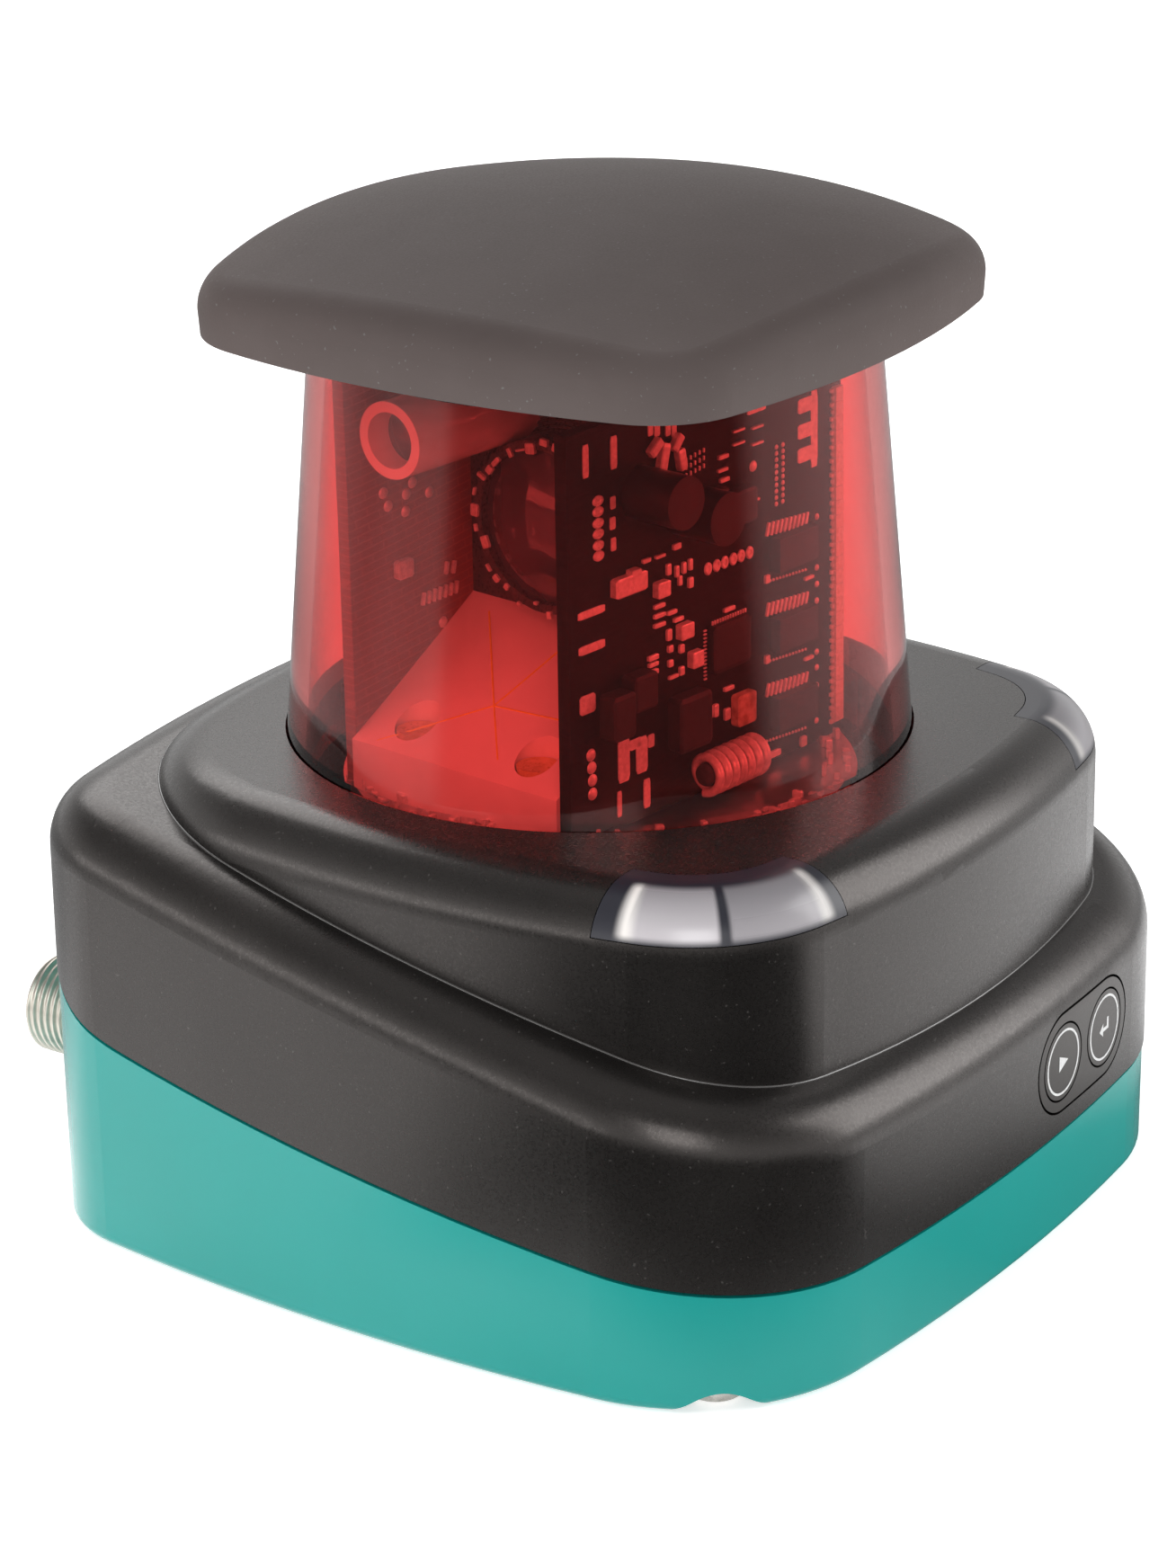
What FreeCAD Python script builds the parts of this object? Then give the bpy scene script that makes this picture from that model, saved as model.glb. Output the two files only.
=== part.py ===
import FreeCAD, Part
import math
import os
import re
import Sketcher

Vector = FreeCAD.Vector
UP = Vector(0, 0, 1)

# Driving dimensions: name, millimetres or degrees, meaning
sizes = [
    ("body_half_x", 53, "half width of the housing at its widest"),
    ("body_half_y", 53, "half depth of the housing at its widest"),
    ("body_curve", 277, "radius of the bulging sides of the housing"),
    ("body_front_corner", 24, "corner radius of the housing, front pair"),
    ("body_back_corner", 15, "corner radius of the housing, back pair"),
    ("shell", 3, "wall of the upper housing"),
    ("parting_front", 12.2, "height of the parting line ahead of the front face"),
    ("parting_low", 25.75, "height of the parting line where it turns up"),
    ("parting_back", 38.9, "height of the parting line behind the back face"),
    ("parting_bend", 19, "start of that upward turn, ahead of the back face"),
    ("parting_curve", 1600, "radius of the parting line along the sides"),
    ("parting_turn", 30, "radius of the parting line's upward turn"),
    ("gasket", 0.5, "thickness of the seal in the parting line"),
    ("gasket_width", 1.8, "width of the seal in the parting line"),
    ("gasket_inset", 0.9, "set-back of the seal from the housing's side"),
    ("tray_draft", 0.4, "outward slope of the tray's sides"),
    ("tray_bottom_inset", 0.3, "set-back of the tray's side at its underside"),
    ("tray_edge", 1.2, "rounding of the tray's lower edge"),
    ("tray_wall", 3.4, "wall of the base tray"),
    ("tray_floor", 4, "floor of the base tray"),
    ("shoulder_front", 29.7, "height of the shoulder ahead of the front face"),
    ("shoulder_back", 55.8, "height of the shoulder behind the back face"),
    ("shoulder_margin", 7, "how far past the faces those heights are taken"),
    ("shoulder_curve", 1000, "radius of the shoulder in side view"),
    ("shoulder_round", 6.5, "rounding of the shoulder's edge"),
    ("tier_step_x", 6, "step from the housing's side in to the tier"),
    ("tier_step_y", 5.6, "step from the housing's front and back in to the tier"),
    ("tier_shift", -0.9, "set-back of the tier's centre along the depth"),
    ("tier_curve", 151.5, "radius of the bulging sides of the tier"),
    ("tier_front_corner", 19.2, "corner radius of the tier, front pair"),
    ("tier_back_corner", 28, "corner radius of the tier, back pair"),
    ("tier_top", 56, "height of the tier's flat top"),
    ("tier_round", 6.5, "rounding of the tier's top edge"),
    ("tier_root", 18, "height at which the tier starts inside the housing"),
    ("post_radius", 4.4, "screw post in a corner of the housing"),
    ("post_top", 40, "height that the screw posts reach"),
    ("front_screw_inset", 13, "front corner screws from the housing's front"),
    ("front_screw_side", 11, "front corner screws from the housing's sides"),
    ("back_screw_inset", 11.5, "back corner screws from the housing's faces"),
    ("recess_mouth", 6.4, "radius of a corner recess at the underside"),
    ("recess_throat", 4, "radius of a corner recess at its bottom"),
    ("recess_depth", 3, "depth of a corner recess"),
    ("screw_radius", 1.5, "shank of the case screws"),
    ("screw_hole_gap", 0.2, "play of a shank in a clearance hole"),
    ("thread_gap", 0.02, "play of a shank in its threaded hole"),
    ("screw_head", 3.6, "head radius of the case screws"),
    ("screw_head_height", 2.6, "head height of the case screws"),
    ("front_screw_length", 18, "shank length of the front case screws"),
    ("back_screw_length", 31, "shank length of the back case screws"),
    ("mount_half", 30, "mounting holes from the middle, both ways"),
    ("mount_hole", 2.5, "radius of the threaded mounting holes"),
    ("mount_depth", 7, "depth of the mounting holes"),
    ("mount_boss", 5, "radius of the mounting bosses"),
    ("mount_boss_top", 9, "height of the mounting bosses"),
    ("lamp_span_x", 22, "length of a lamp window across the front"),
    ("lamp_span_y", 21.1, "length of a lamp window along the side"),
    ("lamp_height", 5, "height of the lamp windows"),
    ("lamp_inset", 8.3, "reach of the lamp windows onto the flat top"),
    ("lamp_gap", 0.1, "joint around a lamp window"),
    ("guide_gap", 0.3, "gap between lamp window and light guides"),
    ("guide_depth", 5.5, "thickness of the light guides"),
    ("guide_end", 1.6, "light guides' ends from the lamp window's ends"),
    ("guide_height", 10.5, "light guides' lower end below the tier's top"),
    ("guide_split", 1.5, "dark gap between the two light guides of a lamp"),
    ("lamp_board_half", 7, "half width of a lamp board"),
    ("lamp_board_set", 5.6, "lamp board's inner face from the lamp's inner corner"),
    ("lamp_board_thick", 1.2, "thickness of a lamp board"),
    ("lamp_led_height", 0.9, "height of a lamp's light source"),
    ("lamp_led_drop", 6.5, "light sources below the tier's top"),
    ("lamp_led_half", 1.2, "half width of a lamp's light source"),
    ("lamp_led_step", 4, "light sources from the middle of a lamp board"),
    ("keypad_x", 16.65, "middle of the keypad across the front"),
    ("keypad_z", 21.6, "middle of the keypad in height"),
    ("keypad_radius", 6.2, "end radius of the keypad"),
    ("keypad_gap", 0.3, "joint around the keypad"),
    ("key_step", 5.45, "each key from the keypad's middle"),
    ("key_radius", 4.5, "radius of a key"),
    ("key_gap", 0.25, "gap around a key"),
    ("key_stem", 1.4, "radius of a key's stem"),
    ("key_travel", 0.5, "travel of a key"),
    ("stem_gap", 0.1, "gap between a pressed key's stem and its switch"),
    ("key_stem_set", 5.4, "tip of the key stems behind the front"),
    ("switch_half", 2.2, "half width of a key switch"),
    ("switch_height", 2, "height of a key switch"),
    ("key_board_thick", 1.2, "thickness of the key board"),
    ("peg_radius", 1.2, "pegs that carry the key board"),
    ("peg_step", 3.6, "those pegs above and below the keypad's middle"),
    ("board_thick", 1.6, "thickness of the circuit boards"),
    ("plug_side", 23, "each connector from the housing's side"),
    ("plug_z", 17.8, "height of the connectors"),
    ("plug_reach", 7.9, "connectors' outer end past the housing"),
    ("plug_seat_set", 3.4, "connectors' flat seat behind the housing's back"),
    ("plug_thread", 6, "thread radius of the connectors"),
    ("plug_flange", 7.6, "flange radius of the connectors"),
    ("plug_flange_thick", 1.4, "flange thickness of the connectors"),
    ("plug_socket", 4.7, "radius of the socket inside a connector"),
    ("plug_socket_depth", 9, "depth of the socket inside a connector"),
    ("plug_tail", 13, "connectors' rear end inside the housing's back"),
    ("plug_rear_radius", 5.4, "radius of the connectors' rear part"),
    ("plug_wall", 1.6, "wall left between a connector's seat and its nut"),
    ("plug_gap", 0.1, "play of a connector in its hole"),
    ("nut_thick", 2.5, "thickness of the connector nuts"),
    ("nut_radius", 8, "corner radius of the connector nuts"),
    ("plug_ring", 1, "thickness of the connectors' sealing rings"),
    ("insert_height", 5, "contact carrier above the socket's floor"),
    ("insert_radius", 4.2, "radius of the contact carrier"),
    ("pin_radius", 0.5, "radius of a contact pin"),
    ("pin_step", 1.8, "contact pins from the connector's middle"),
    ("pin_length", 3, "length of a contact pin past its carrier"),
    ("axis_y", 2.4, "set-back of the scan axis from the housing's middle"),
    ("drum_set", 11.2, "step from the tier's side in to the drum"),
    ("drum_taper", 4, "how much the drum narrows upwards"),
    ("drum_top", 104, "height of the drum's upper end"),
    ("drum_wall", 2.2, "wall of the drum"),
    ("drum_gap", 0.2, "play of the drum in the housing's opening"),
    ("drum_lip", 1.6, "drum's flange past its wall"),
    ("drum_flange_thick", 2.4, "thickness of that flange"),
    ("drum_seal", 0.8, "seal between the drum's flange and the tier"),
    ("drum_rim_width", 7.8, "width of the drum's upper rim"),
    ("drum_rim_thick", 2.5, "thickness of the drum's upper rim"),
    ("cap_over_x", 5.3, "cap past the drum, sideways"),
    ("cap_over_y", 5.6, "cap past the drum, front and back"),
    ("cap_curve", 113, "radius of the bulging sides of the cap"),
    ("cap_front_corner", 11, "corner radius of the cap, front pair"),
    ("cap_back_corner", 13, "corner radius of the cap, back pair"),
    ("cap_flare", 4, "outward slope of the cap's sides"),
    ("cap_rise", 13, "cap's middle above the drum"),
    ("cap_dome", 145, "radius of the cap's dome"),
    ("cap_round", 4.5, "rounding of the cap's upper edge"),
    ("cap_wall", 3, "thickness of the cap over its hollow"),
    ("cap_spigot_gap", 0.1, "play of the cap's spigot in the drum's rim"),
    ("cap_spigot_wall", 2, "wall of the cap's spigot"),
    ("cap_seal_set", 4.8, "cap's seal from the drum's outside"),
    ("cap_seal_width", 1.6, "width of the seal under the cap"),
    ("cap_seal_depth", 1, "depth of that seal's groove"),
    ("board_z", 10, "underside of the control board"),
    ("control_side", 11, "control board from the housing's sides"),
    ("control_ahead", 19, "control board from the housing's front"),
    ("control_behind", 23, "control board from the housing's back"),
    ("standoff_side", 4, "board screws from the board's sides"),
    ("standoff_ahead", 12, "front board screws from the board's front"),
    ("standoff_behind", 10, "back board screws from the board's back"),
    ("standoff_radius", 3.4, "radius of the board's standoffs"),
    ("board_screw", 1.25, "shank of the board screws"),
    ("board_screw_head", 2.4, "head radius of the board screws"),
    ("board_screw_length", 5.5, "shank length of the board screws"),
    ("tower_radius", 12.5, "outer radius of the bearing tower"),
    ("tower_flange", 20, "flange radius of the bearing tower"),
    ("tower_flange_thick", 3, "flange thickness of the bearing tower"),
    ("tower_room", 3, "bearing tower below the platform"),
    ("tower_bore", 7.6, "bore of the tower between its bearings"),
    ("tower_screw_ring", 16.5, "tower screws from the scan axis"),
    ("shaft_radius", 4, "radius of the shaft in its bearings"),
    ("shaft_collar", 5, "radius of the shaft between its bearings"),
    ("shaft_bottom", 6.5, "lower end of the shaft"),
    ("fit_gap", 0.02, "play of pressed and running fits"),
    ("bearing_radius", 9.5, "outer radius of the ball bearings"),
    ("bearing_width", 6, "width of the ball bearings"),
    ("lower_bearing", 8, "height of the lower bearing"),
    ("upper_bearing_drop", 7, "upper bearing's underside below the tower's top"),
    ("ball_radius", 1.5, "radius of the bearing balls"),
    ("ball_ring", 6.75, "bearing balls from the axis"),
    ("ball_gap", 0.05, "play of the balls in their races"),
    ("race_gap", 1, "half gap between the bearing's rings"),
    ("stator_bottom", 26, "lower face of the stator core"),
    ("stator_height", 10, "height of the stator core"),
    ("magnet_room", 3, "room for magnets between stator and bell"),
    ("stator_yoke", 15.5, "radius of the stator's inner ring"),
    ("tooth_half", 1.6, "half width of a stator tooth"),
    ("shoe_half", 5, "half width of a stator tooth's shoe"),
    ("shoe_thick", 1.6, "thickness of a stator tooth's shoe"),
    ("coil_thick", 2, "thickness of a coil around its tooth"),
    ("coil_gap", 0.15, "gap between coils and core"),
    ("air_gap", 0.6, "gap between stator and magnets"),
    ("bell_wall", 2.5, "wall of the rotor's bell"),
    ("bell_set", 6.3, "rotor's bell from the drum's outside"),
    ("bell_bottom", 23, "lower edge of the rotor's bell"),
    ("platform_thick", 3, "thickness of the rotor platform"),
    ("platform_drop", 5, "rotor platform below the tier's top"),
    ("hub_radius", 8, "radius of the platform's hub"),
    ("hub_length", 1.8, "hub below the platform"),
    ("disc_lip", 4.5, "encoder disc past the bell"),
    ("disc_thick", 1, "thickness of the encoder disc"),
    ("fork_gap", 0.7, "gap between encoder disc and sensor"),
    ("fork_wall", 2, "jaws of the encoder sensor"),
    ("fork_half", 4, "half width of the encoder sensor"),
    ("coupling_outer", 19, "outer radius of the power coupling"),
    ("coupling_gap", 0.8, "gap between the power coupling's halves"),
    ("coupling_drop", 2.5, "coupling's fixed half below the tower's top"),
    ("coupling_thick", 3, "thickness of the coupling's fixed half"),
    ("rotor_angle", -7, "rest angle of the scan head"),
    ("head_room", 5.4, "rotor's boards below the drum's upper end"),
    ("board_lift", 0.6, "rotor's boards above the platform"),
    ("head_board_set", 7.8, "rotor's boards from the drum's head"),
    ("board_back", 15.2, "carrier faces that hold the rotor's boards"),
    ("carrier_floor", 3, "floor of the optics carrier"),
    ("carrier_wall", 2, "side walls of the optics carrier"),
    ("nose_lip", 0.6, "carrier's deck past the boards"),
    ("tail_set", 3, "carrier's tail from the boards' edge"),
    ("deck_lift", 6, "deck's outer edge above the platform"),
    ("deck_drop", 12, "deck's inner edge below the lens"),
    ("lens_wall_front", 4.5, "front of the lens wall from the axis"),
    ("lens_wall_thick", 3, "thickness of the lens wall"),
    ("lens_drop", 17.3, "receiver lens below the boards' upper edge"),
    ("lens_radius", 9, "radius of the receiver lens"),
    ("lens_dome", 18, "radius of the receiver lens's front"),
    ("lens_edge", 1.6, "edge thickness of the receiver lens"),
    ("holder_wall", 1, "wall of the lens holder"),
    ("holder_length", 5, "length of the lens holder"),
    ("tube_y", 8.5, "emitter tube from the axis, sideways"),
    ("tube_drop", 5.3, "emitter tube below the boards' upper edge"),
    ("tube_radius", 4.4, "radius of the emitter tube"),
    ("tube_bore", 3.2, "bore of the emitter tube"),
    ("tube_back", 6, "rear end of the emitter tube"),
    ("emitter_lens_set", 2, "set-back of the emitter lens in its tube"),
    ("emitter_lens_thick", 2, "thickness of the emitter lens"),
    ("diode_length", 4, "length of the laser diode"),
    ("diode_gap", 0.05, "play of the laser diode in its tube"),
    ("led_set", 1.2, "lamp column from the board's edge"),
    ("led_half", 0.8, "half width of a display lamp"),
    ("led_lift", 3, "lowest display lamp above the platform"),
    ("led_room", 6, "highest display lamp below the board's edge"),
    ("led_height", 0.7, "height of a display lamp"),
    ("driver_x", 13.7, "driver chips from the axis"),
    ("driver_lift", 6.5, "lowest driver chip above the platform"),
    ("driver_pitch", 9.55, "pitch of the driver chips"),
    ("driver_half_x", 3.6, "half length of a driver chip"),
    ("driver_half_z", 2, "half width of a driver chip"),
    ("driver_height", 1.5, "height of a driver chip"),
    ("can_radius", 3, "radius of the display board's capacitors"),
    ("can_height", 6.5, "height of the display board's capacitors"),
    ("can_x", -12.3, "first capacitor from the axis"),
    ("can_drop", 9, "first capacitor below the board's upper edge"),
    ("can_step_x", 7, "second capacitor beside the first"),
    ("can_step_z", -3.6, "second capacitor below the first"),
    ("choke_x", 0.7, "coil of the display board from the axis"),
    ("choke_lift", 4, "display board's coil above the platform"),
    ("choke_half", 5, "half length of the coil"),
    ("choke_radius", 2, "radius of the coil's core"),
    ("choke_rib", 0.6, "height of the coil's turns"),
    ("carrier_screw_front", 20.5, "carrier screws under the deck from the axis"),
    ("carrier_screw_back", 17, "carrier screws behind the lens from the axis"),
    ("carrier_screw_y", 9, "carrier screws from the axis, sideways"),
    ("deck_screw_seat", 0.3, "seat of the deck's screws above the deck's outer edge"),
    ("chip_half", 7, "half width of the processor"),
    ("chip_height", 1.6, "height of the processor"),
    ("power_length", 18, "length of the power module"),
    ("power_width", 13, "width of the power module"),
    ("power_height", 7, "height of the power module"),
    ("filter_radius", 3.5, "radius of the control board's capacitors"),
    ("filter_height", 8, "height of the control board's capacitors"),
    ("header_length", 14, "length of a board header"),
    ("header_width", 4, "width of a board header"),
    ("header_height", 5, "height of a board header"),
]
tooth_count = 9
led_count = 24
driver_count = 3
choke_turns = 7
ball_count = 8

# Dimensions worked out from those: name, formula, meaning
derived = [
    ("tier_half_x", "body_half_x - tier_step_x", "half width of the upper tier"),
    ("tier_half_y", "body_half_y - tier_step_y", "half depth of the upper tier"),
    ("front_screw_x", "body_half_x - front_screw_side", "front corner screws from the middle along x"),
    ("front_screw_y", "body_half_y - front_screw_inset", "front corner screws from the middle along y"),
    ("back_screw_x", "body_half_x - back_screw_inset", "back corner screws from the middle along x"),
    ("back_screw_y", "body_half_y - back_screw_inset", "back corner screws from the middle along y"),
    ("lamp_reach_x", "tier_half_x - lamp_span_x", "where the lamp windows end across the front"),
    ("lamp_reach_y", "tier_half_y - lamp_span_y", "where the lamp windows end along the side"),
    ("lamp_bottom", "tier_top - lamp_height", "lower edge of the lamp windows"),
    ("guide_bottom", "tier_top - guide_height", "lower end of the light guides"),
    ("lamp_led_z", "tier_top - lamp_led_drop", "height at which the light sources sit"),
    ("key_stem_end", "body_half_y - key_stem_set", "tip of the key stems, ahead of the middle"),
    ("plug_x", "body_half_x - plug_side", "each connector from the middle"),
    ("plug_end", "body_half_y + plug_reach", "outer end of the connectors"),
    ("plug_seat", "body_half_y - plug_seat_set", "flat seat of the connectors on the back"),
    ("plug_rear", "body_half_y - plug_tail", "rear end of the connectors, inside"),
    ("plug_wall_back", "plug_seat - plug_wall", "flat inside the back wall under the nuts"),
    ("drum_base", "min(tier_half_x; tier_half_y) - drum_set", "outer radius of the drum at the tier's top"),
    ("drum_head", "drum_base - drum_taper", "outer radius of the drum under the cap"),
    ("drum_flange", "drum_base + drum_lip", "radius of the drum's flange under the tier"),
    ("drum_rim", "drum_head - drum_rim_width", "inner radius of the drum's upper rim"),
    ("cap_half_x", "drum_head + cap_over_x", "half width of the cap"),
    ("cap_half_y", "drum_head + cap_over_y", "half depth of the cap"),
    ("cap_apex", "drum_top + cap_rise", "height of the cap's middle"),
    ("cap_seal", "drum_head - cap_seal_set", "inner radius of the seal under the cap"),
    ("control_half_x", "body_half_x - control_side", "half width of the control board"),
    ("control_front", "body_half_y - control_ahead", "control board ahead of the middle"),
    ("control_back", "body_half_y - control_behind", "control board behind the middle"),
    ("standoff_x", "control_half_x - standoff_side", "board screws from the middle, across"),
    ("standoff_front", "control_front - standoff_ahead", "front board screws ahead of the middle"),
    ("standoff_back", "control_back - standoff_behind", "back board screws behind the middle"),
    ("bell_outer", "drum_base - bell_set", "outer radius of the rotor's bell"),
    ("bell_inner", "bell_outer - bell_wall", "inner radius of the rotor's bell"),
    ("stator_radius", "bell_inner - magnet_room", "outer radius of the stator core"),
    ("disc_radius", "bell_outer + disc_lip", "radius of the encoder disc"),
    ("platform_top", "tier_top - platform_drop", "upper face of the rotor platform"),
    ("platform_bottom", "platform_top - platform_thick", "underside of the rotor platform"),
    ("tower_top", "platform_bottom - tower_room", "height of the bearing tower"),
    ("upper_bearing", "tower_top - upper_bearing_drop", "height of the upper bearing"),
    ("coupling_split", "tower_top - coupling_drop", "upper face of the coupling's fixed half"),
    ("head_top", "drum_top - head_room", "upper edge of the rotor's boards"),
    ("board_bottom", "platform_top + board_lift", "lower edge of the rotor's boards"),
    ("head_board_half", "drum_head - head_board_set", "half width of the rotor's boards"),
    ("carrier_nose", "head_board_half + nose_lip", "how far the carrier's deck reaches"),
    ("carrier_tail", "head_board_half - tail_set", "how far the carrier reaches behind"),
    ("deck_low", "platform_top + deck_lift", "height of the sloping deck at its outer edge"),
    ("deck_seat", "deck_low + deck_screw_seat", "seat of the deck's screws"),
    ("lens_z", "head_top - lens_drop", "height of the receiver lens"),
    ("deck_high", "lens_z - deck_drop", "height of the sloping deck at the lens wall"),
    ("tube_z", "head_top - tube_drop", "height of the emitter tube"),
    ("tube_front", "head_board_half", "mouth of the emitter tube"),
    ("led_x", "head_board_half - led_set", "lamp column from the axis"),
    ("led_low", "platform_top + led_lift", "lowest display lamp"),
    ("led_pitch", f"(head_top - led_room - led_low) / {led_count - 1}", "pitch of the display lamps"),
    ("can_z", "head_top - can_drop", "height of the first capacitor"),
    ("driver_low", "platform_top + driver_lift", "lowest driver chip"),
    ("choke_z", "platform_top + choke_lift", "height of the display board's coil"),
]

doc = FreeCAD.newDocument("lidar_sensor")
sheet = doc.addObject("Spreadsheet::Sheet", "Sizes")
formulas = [(alias, f"={formula}", meaning) for alias, formula, meaning in derived]
for row, (alias, number, meaning) in enumerate(sizes + formulas, start=1):
    sheet.set(f"A{row}", meaning)
    sheet.set(f"B{row}", str(number))
    sheet.setAlias(f"B{row}", alias)
doc.recompute()
aliases = {alias for alias, number, meaning in sizes + derived}


# Formulas are written with the names above and read the sheet
def linked(formula):
    def prefix(word):
        name = word.group()
        return "Sizes." + name if name in aliases else name
    return re.sub(r"[a-z]\w*", prefix, formula)


def amount(formula):
    return float(sheet.evalExpression(linked(formula)))


# Places
def place(item, x="0", y="0", z="0", axis=UP, angle="0"):
    item.Placement = FreeCAD.Placement(Vector(), FreeCAD.Rotation(axis, 1))
    for letter, formula in (("x", x), ("y", y), ("z", z)):
        item.setExpression(f"Placement.Base.{letter}", linked(formula))
    item.setExpression("Placement.Rotation.Angle", linked(angle))


def on_axis(item):
    place(item, y="axis_y")


def on_rotor(item):
    place(item, y="axis_y", angle="rotor_angle")


def as_drawn(item):
    place(item)


# Sketches
def sketch_on(body, plane, start="0", up="0"):
    sketch = body.newObject("Sketcher::SketchObject", "Sketch")
    support = next(item for item in body.Origin.OriginFeatures if item.Role == plane)
    sketch.AttachmentSupport = [(support, "")]
    sketch.MapMode = "FlatFace"
    sketch.setExpression("AttachmentOffset.Base.z", linked(start))
    sketch.setExpression("AttachmentOffset.Base.y", linked(up))
    return sketch


def drive(sketch, constraint, formula):
    number = sketch.addConstraint(constraint)
    sketch.setExpression(f"Constraints[{number}]", linked(formula))


def pin(sketch, geometry, point, x, y):
    for kind, formula in (("DistanceX", x), ("DistanceY", y)):
        drive(sketch, Sketcher.Constraint(kind, -1, 1, geometry, point, amount(formula)), formula)


def set_radius(sketch, geometry, formula):
    drive(sketch, Sketcher.Constraint("Radius", geometry, amount(formula)), formula)


def circle(sketch, x, y, radius):
    middle = Vector(amount(x), amount(y), 0)
    geometry = sketch.addGeometry(Part.Circle(middle, UP, amount(radius)))
    pin(sketch, geometry, 3, x, y)
    set_radius(sketch, geometry, radius)


def arc_between(start, end, radius):
    chord = end - start
    left = Vector(-chord.y, chord.x, 0).normalize()
    rise = math.sqrt(radius ** 2 - chord.Length ** 2 / 4)
    middle = (start + end) * 0.5 + left * rise
    angles = [math.atan2(point.y - middle.y, point.x - middle.x) for point in (start, end)]
    return Part.ArcOfCircle(Part.Circle(middle, UP, radius), *angles)


# Corners run anticlockwise; a third entry makes the next side an arc of that radius,
# bulging out of the shape, or into it with a fourth entry "in"
def profile(sketch, *corners):
    points = [Vector(amount(corner[0]), amount(corner[1]), 0) for corner in corners]
    first = sketch.GeometryCount
    ends = []
    for number, corner in enumerate(corners):
        here, after = points[number], points[(number + 1) % len(points)]
        if len(corner) == 2:
            sketch.addGeometry(Part.LineSegment(here, after))
            ends.append((1, 2))
        elif len(corner) == 3:
            sketch.addGeometry(arc_between(here, after, amount(corner[2])))
            ends.append((1, 2))
        else:
            sketch.addGeometry(arc_between(after, here, amount(corner[2])))
            ends.append((2, 1))
    for number, corner in enumerate(corners):
        after = (number + 1) % len(corners)
        joint = (first + number, ends[number][1], first + after, ends[after][0])
        sketch.addConstraint(Sketcher.Constraint("Coincident", *joint))
    for number, corner in enumerate(corners):
        pin(sketch, first + number, ends[number][0], corner[0], corner[1])
        if len(corner) > 2:
            set_radius(sketch, first + number, corner[2])


def rectangle(sketch, low_x, low_y, high_x, high_y):
    profile(sketch, (low_x, low_y), (high_x, low_y), (high_x, high_y), (low_x, high_y))


def stadium(sketch, x, y, half, radius):
    low, high = f"({x}) - ({half})", f"({x}) + ({half})"
    reach = amount(radius)
    left, right = Vector(amount(low), amount(y), 0), Vector(amount(high), amount(y), 0)
    down = Vector(0, -reach, 0)
    sketch.addGeometry(Part.LineSegment(left + down, right + down))
    sketch.addGeometry(Part.ArcOfCircle(Part.Circle(right, UP, reach), -math.pi / 2, math.pi / 2))
    sketch.addGeometry(Part.LineSegment(right - down, left - down))
    sketch.addGeometry(Part.ArcOfCircle(Part.Circle(left, UP, reach), math.pi / 2, 3 * math.pi / 2))
    for side in range(4):
        sketch.addConstraint(Sketcher.Constraint("Tangent", side, 2, (side + 1) % 4, 1))
    pin(sketch, 1, 3, high, y)
    pin(sketch, 3, 3, low, y)
    set_radius(sketch, 1, radius)


# Square with four bulging sides and tangent corners, starting with the right side
def bulged(sketch, half_x, half_y, curve, front, back, shift="0", inset="0"):
    curve = f"{curve} - ({inset})"
    sides = [
        (f"{half_x} - ({inset}) - ({curve})", shift),
        ("0", f"{shift} + {half_y} - ({inset}) - ({curve})"),
        (f"({curve}) - {half_x} + ({inset})", shift),
        ("0", f"{shift} + ({curve}) - {half_y} + ({inset})"),
    ]
    corners = [f"{name} - ({inset})" for name in (back, back, front, front)]
    bend = amount(curve)
    middles = [Vector(amount(x), amount(y), 0) for x, y in sides]
    outward = [Vector(1, 1, 0), Vector(-1, 1, 0), Vector(-1, -1, 0), Vector(1, -1, 0)]
    touches = []
    rounds = []
    for number, corner in enumerate(corners):
        before, after = middles[number], middles[(number + 1) % 4]
        reach = bend - amount(corner)
        step = after - before
        across = Vector(-step.y, step.x, 0).normalize()
        if across.dot(outward[number]) < 0:
            across = across * -1
        middle = (before + after) * 0.5 + across * math.sqrt(reach ** 2 - step.Length ** 2 / 4)
        rounds.append(middle)
        touches.append([side + (middle - side).normalize() * bend for side in (before, after)])
    first = sketch.GeometryCount
    for number in range(4):
        pairs = [
            (middles[number], bend, touches[number - 1][1], touches[number][0]),
            (rounds[number], amount(corners[number]), touches[number][0], touches[number][1]),
        ]
        for middle, radius, start, end in pairs:
            angles = [math.atan2(point.y - middle.y, point.x - middle.x) for point in (start, end)]
            sketch.addGeometry(Part.ArcOfCircle(Part.Circle(middle, UP, radius), *angles))
    for number in range(8):
        after = first + (number + 1) % 8
        sketch.addConstraint(Sketcher.Constraint("Tangent", first + number, 2, after, 1))
    for number in range(4):
        pin(sketch, first + 2 * number, 3, *sides[number])
        set_radius(sketch, first + 2 * number, curve)
        set_radius(sketch, first + 2 * number + 1, corners[number])


# Features
def new_body(label, where=as_drawn):
    body = doc.addObject("PartDesign::Body", label)
    body.Label = label
    where(body)
    return body


def draw(sketch, drawing):
    for shape, *numbers in drawing:
        shape(sketch, *numbers)


def extrude(body, kind, sketch, length, both_ways=False):
    feature = body.newObject(kind, "Extrusion")
    feature.Profile = sketch
    feature.setExpression("Length", linked(length))
    feature.SideType = "Symmetric" if both_ways else "One side"
    return feature


def prism(label, plane, start, length, *drawing, where=as_drawn, both_ways=False):
    body = new_body(label, where)
    sketch = sketch_on(body, plane, start)
    draw(sketch, drawing)
    extrude(body, "PartDesign::Pad", sketch, length, both_ways)
    return body


def revolve(body, kind, sketch, axis):
    feature = body.newObject(kind, "Turning")
    feature.Profile = sketch
    feature.ReferenceAxis = (sketch, [axis])
    feature.Angle = 360
    return feature


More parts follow.
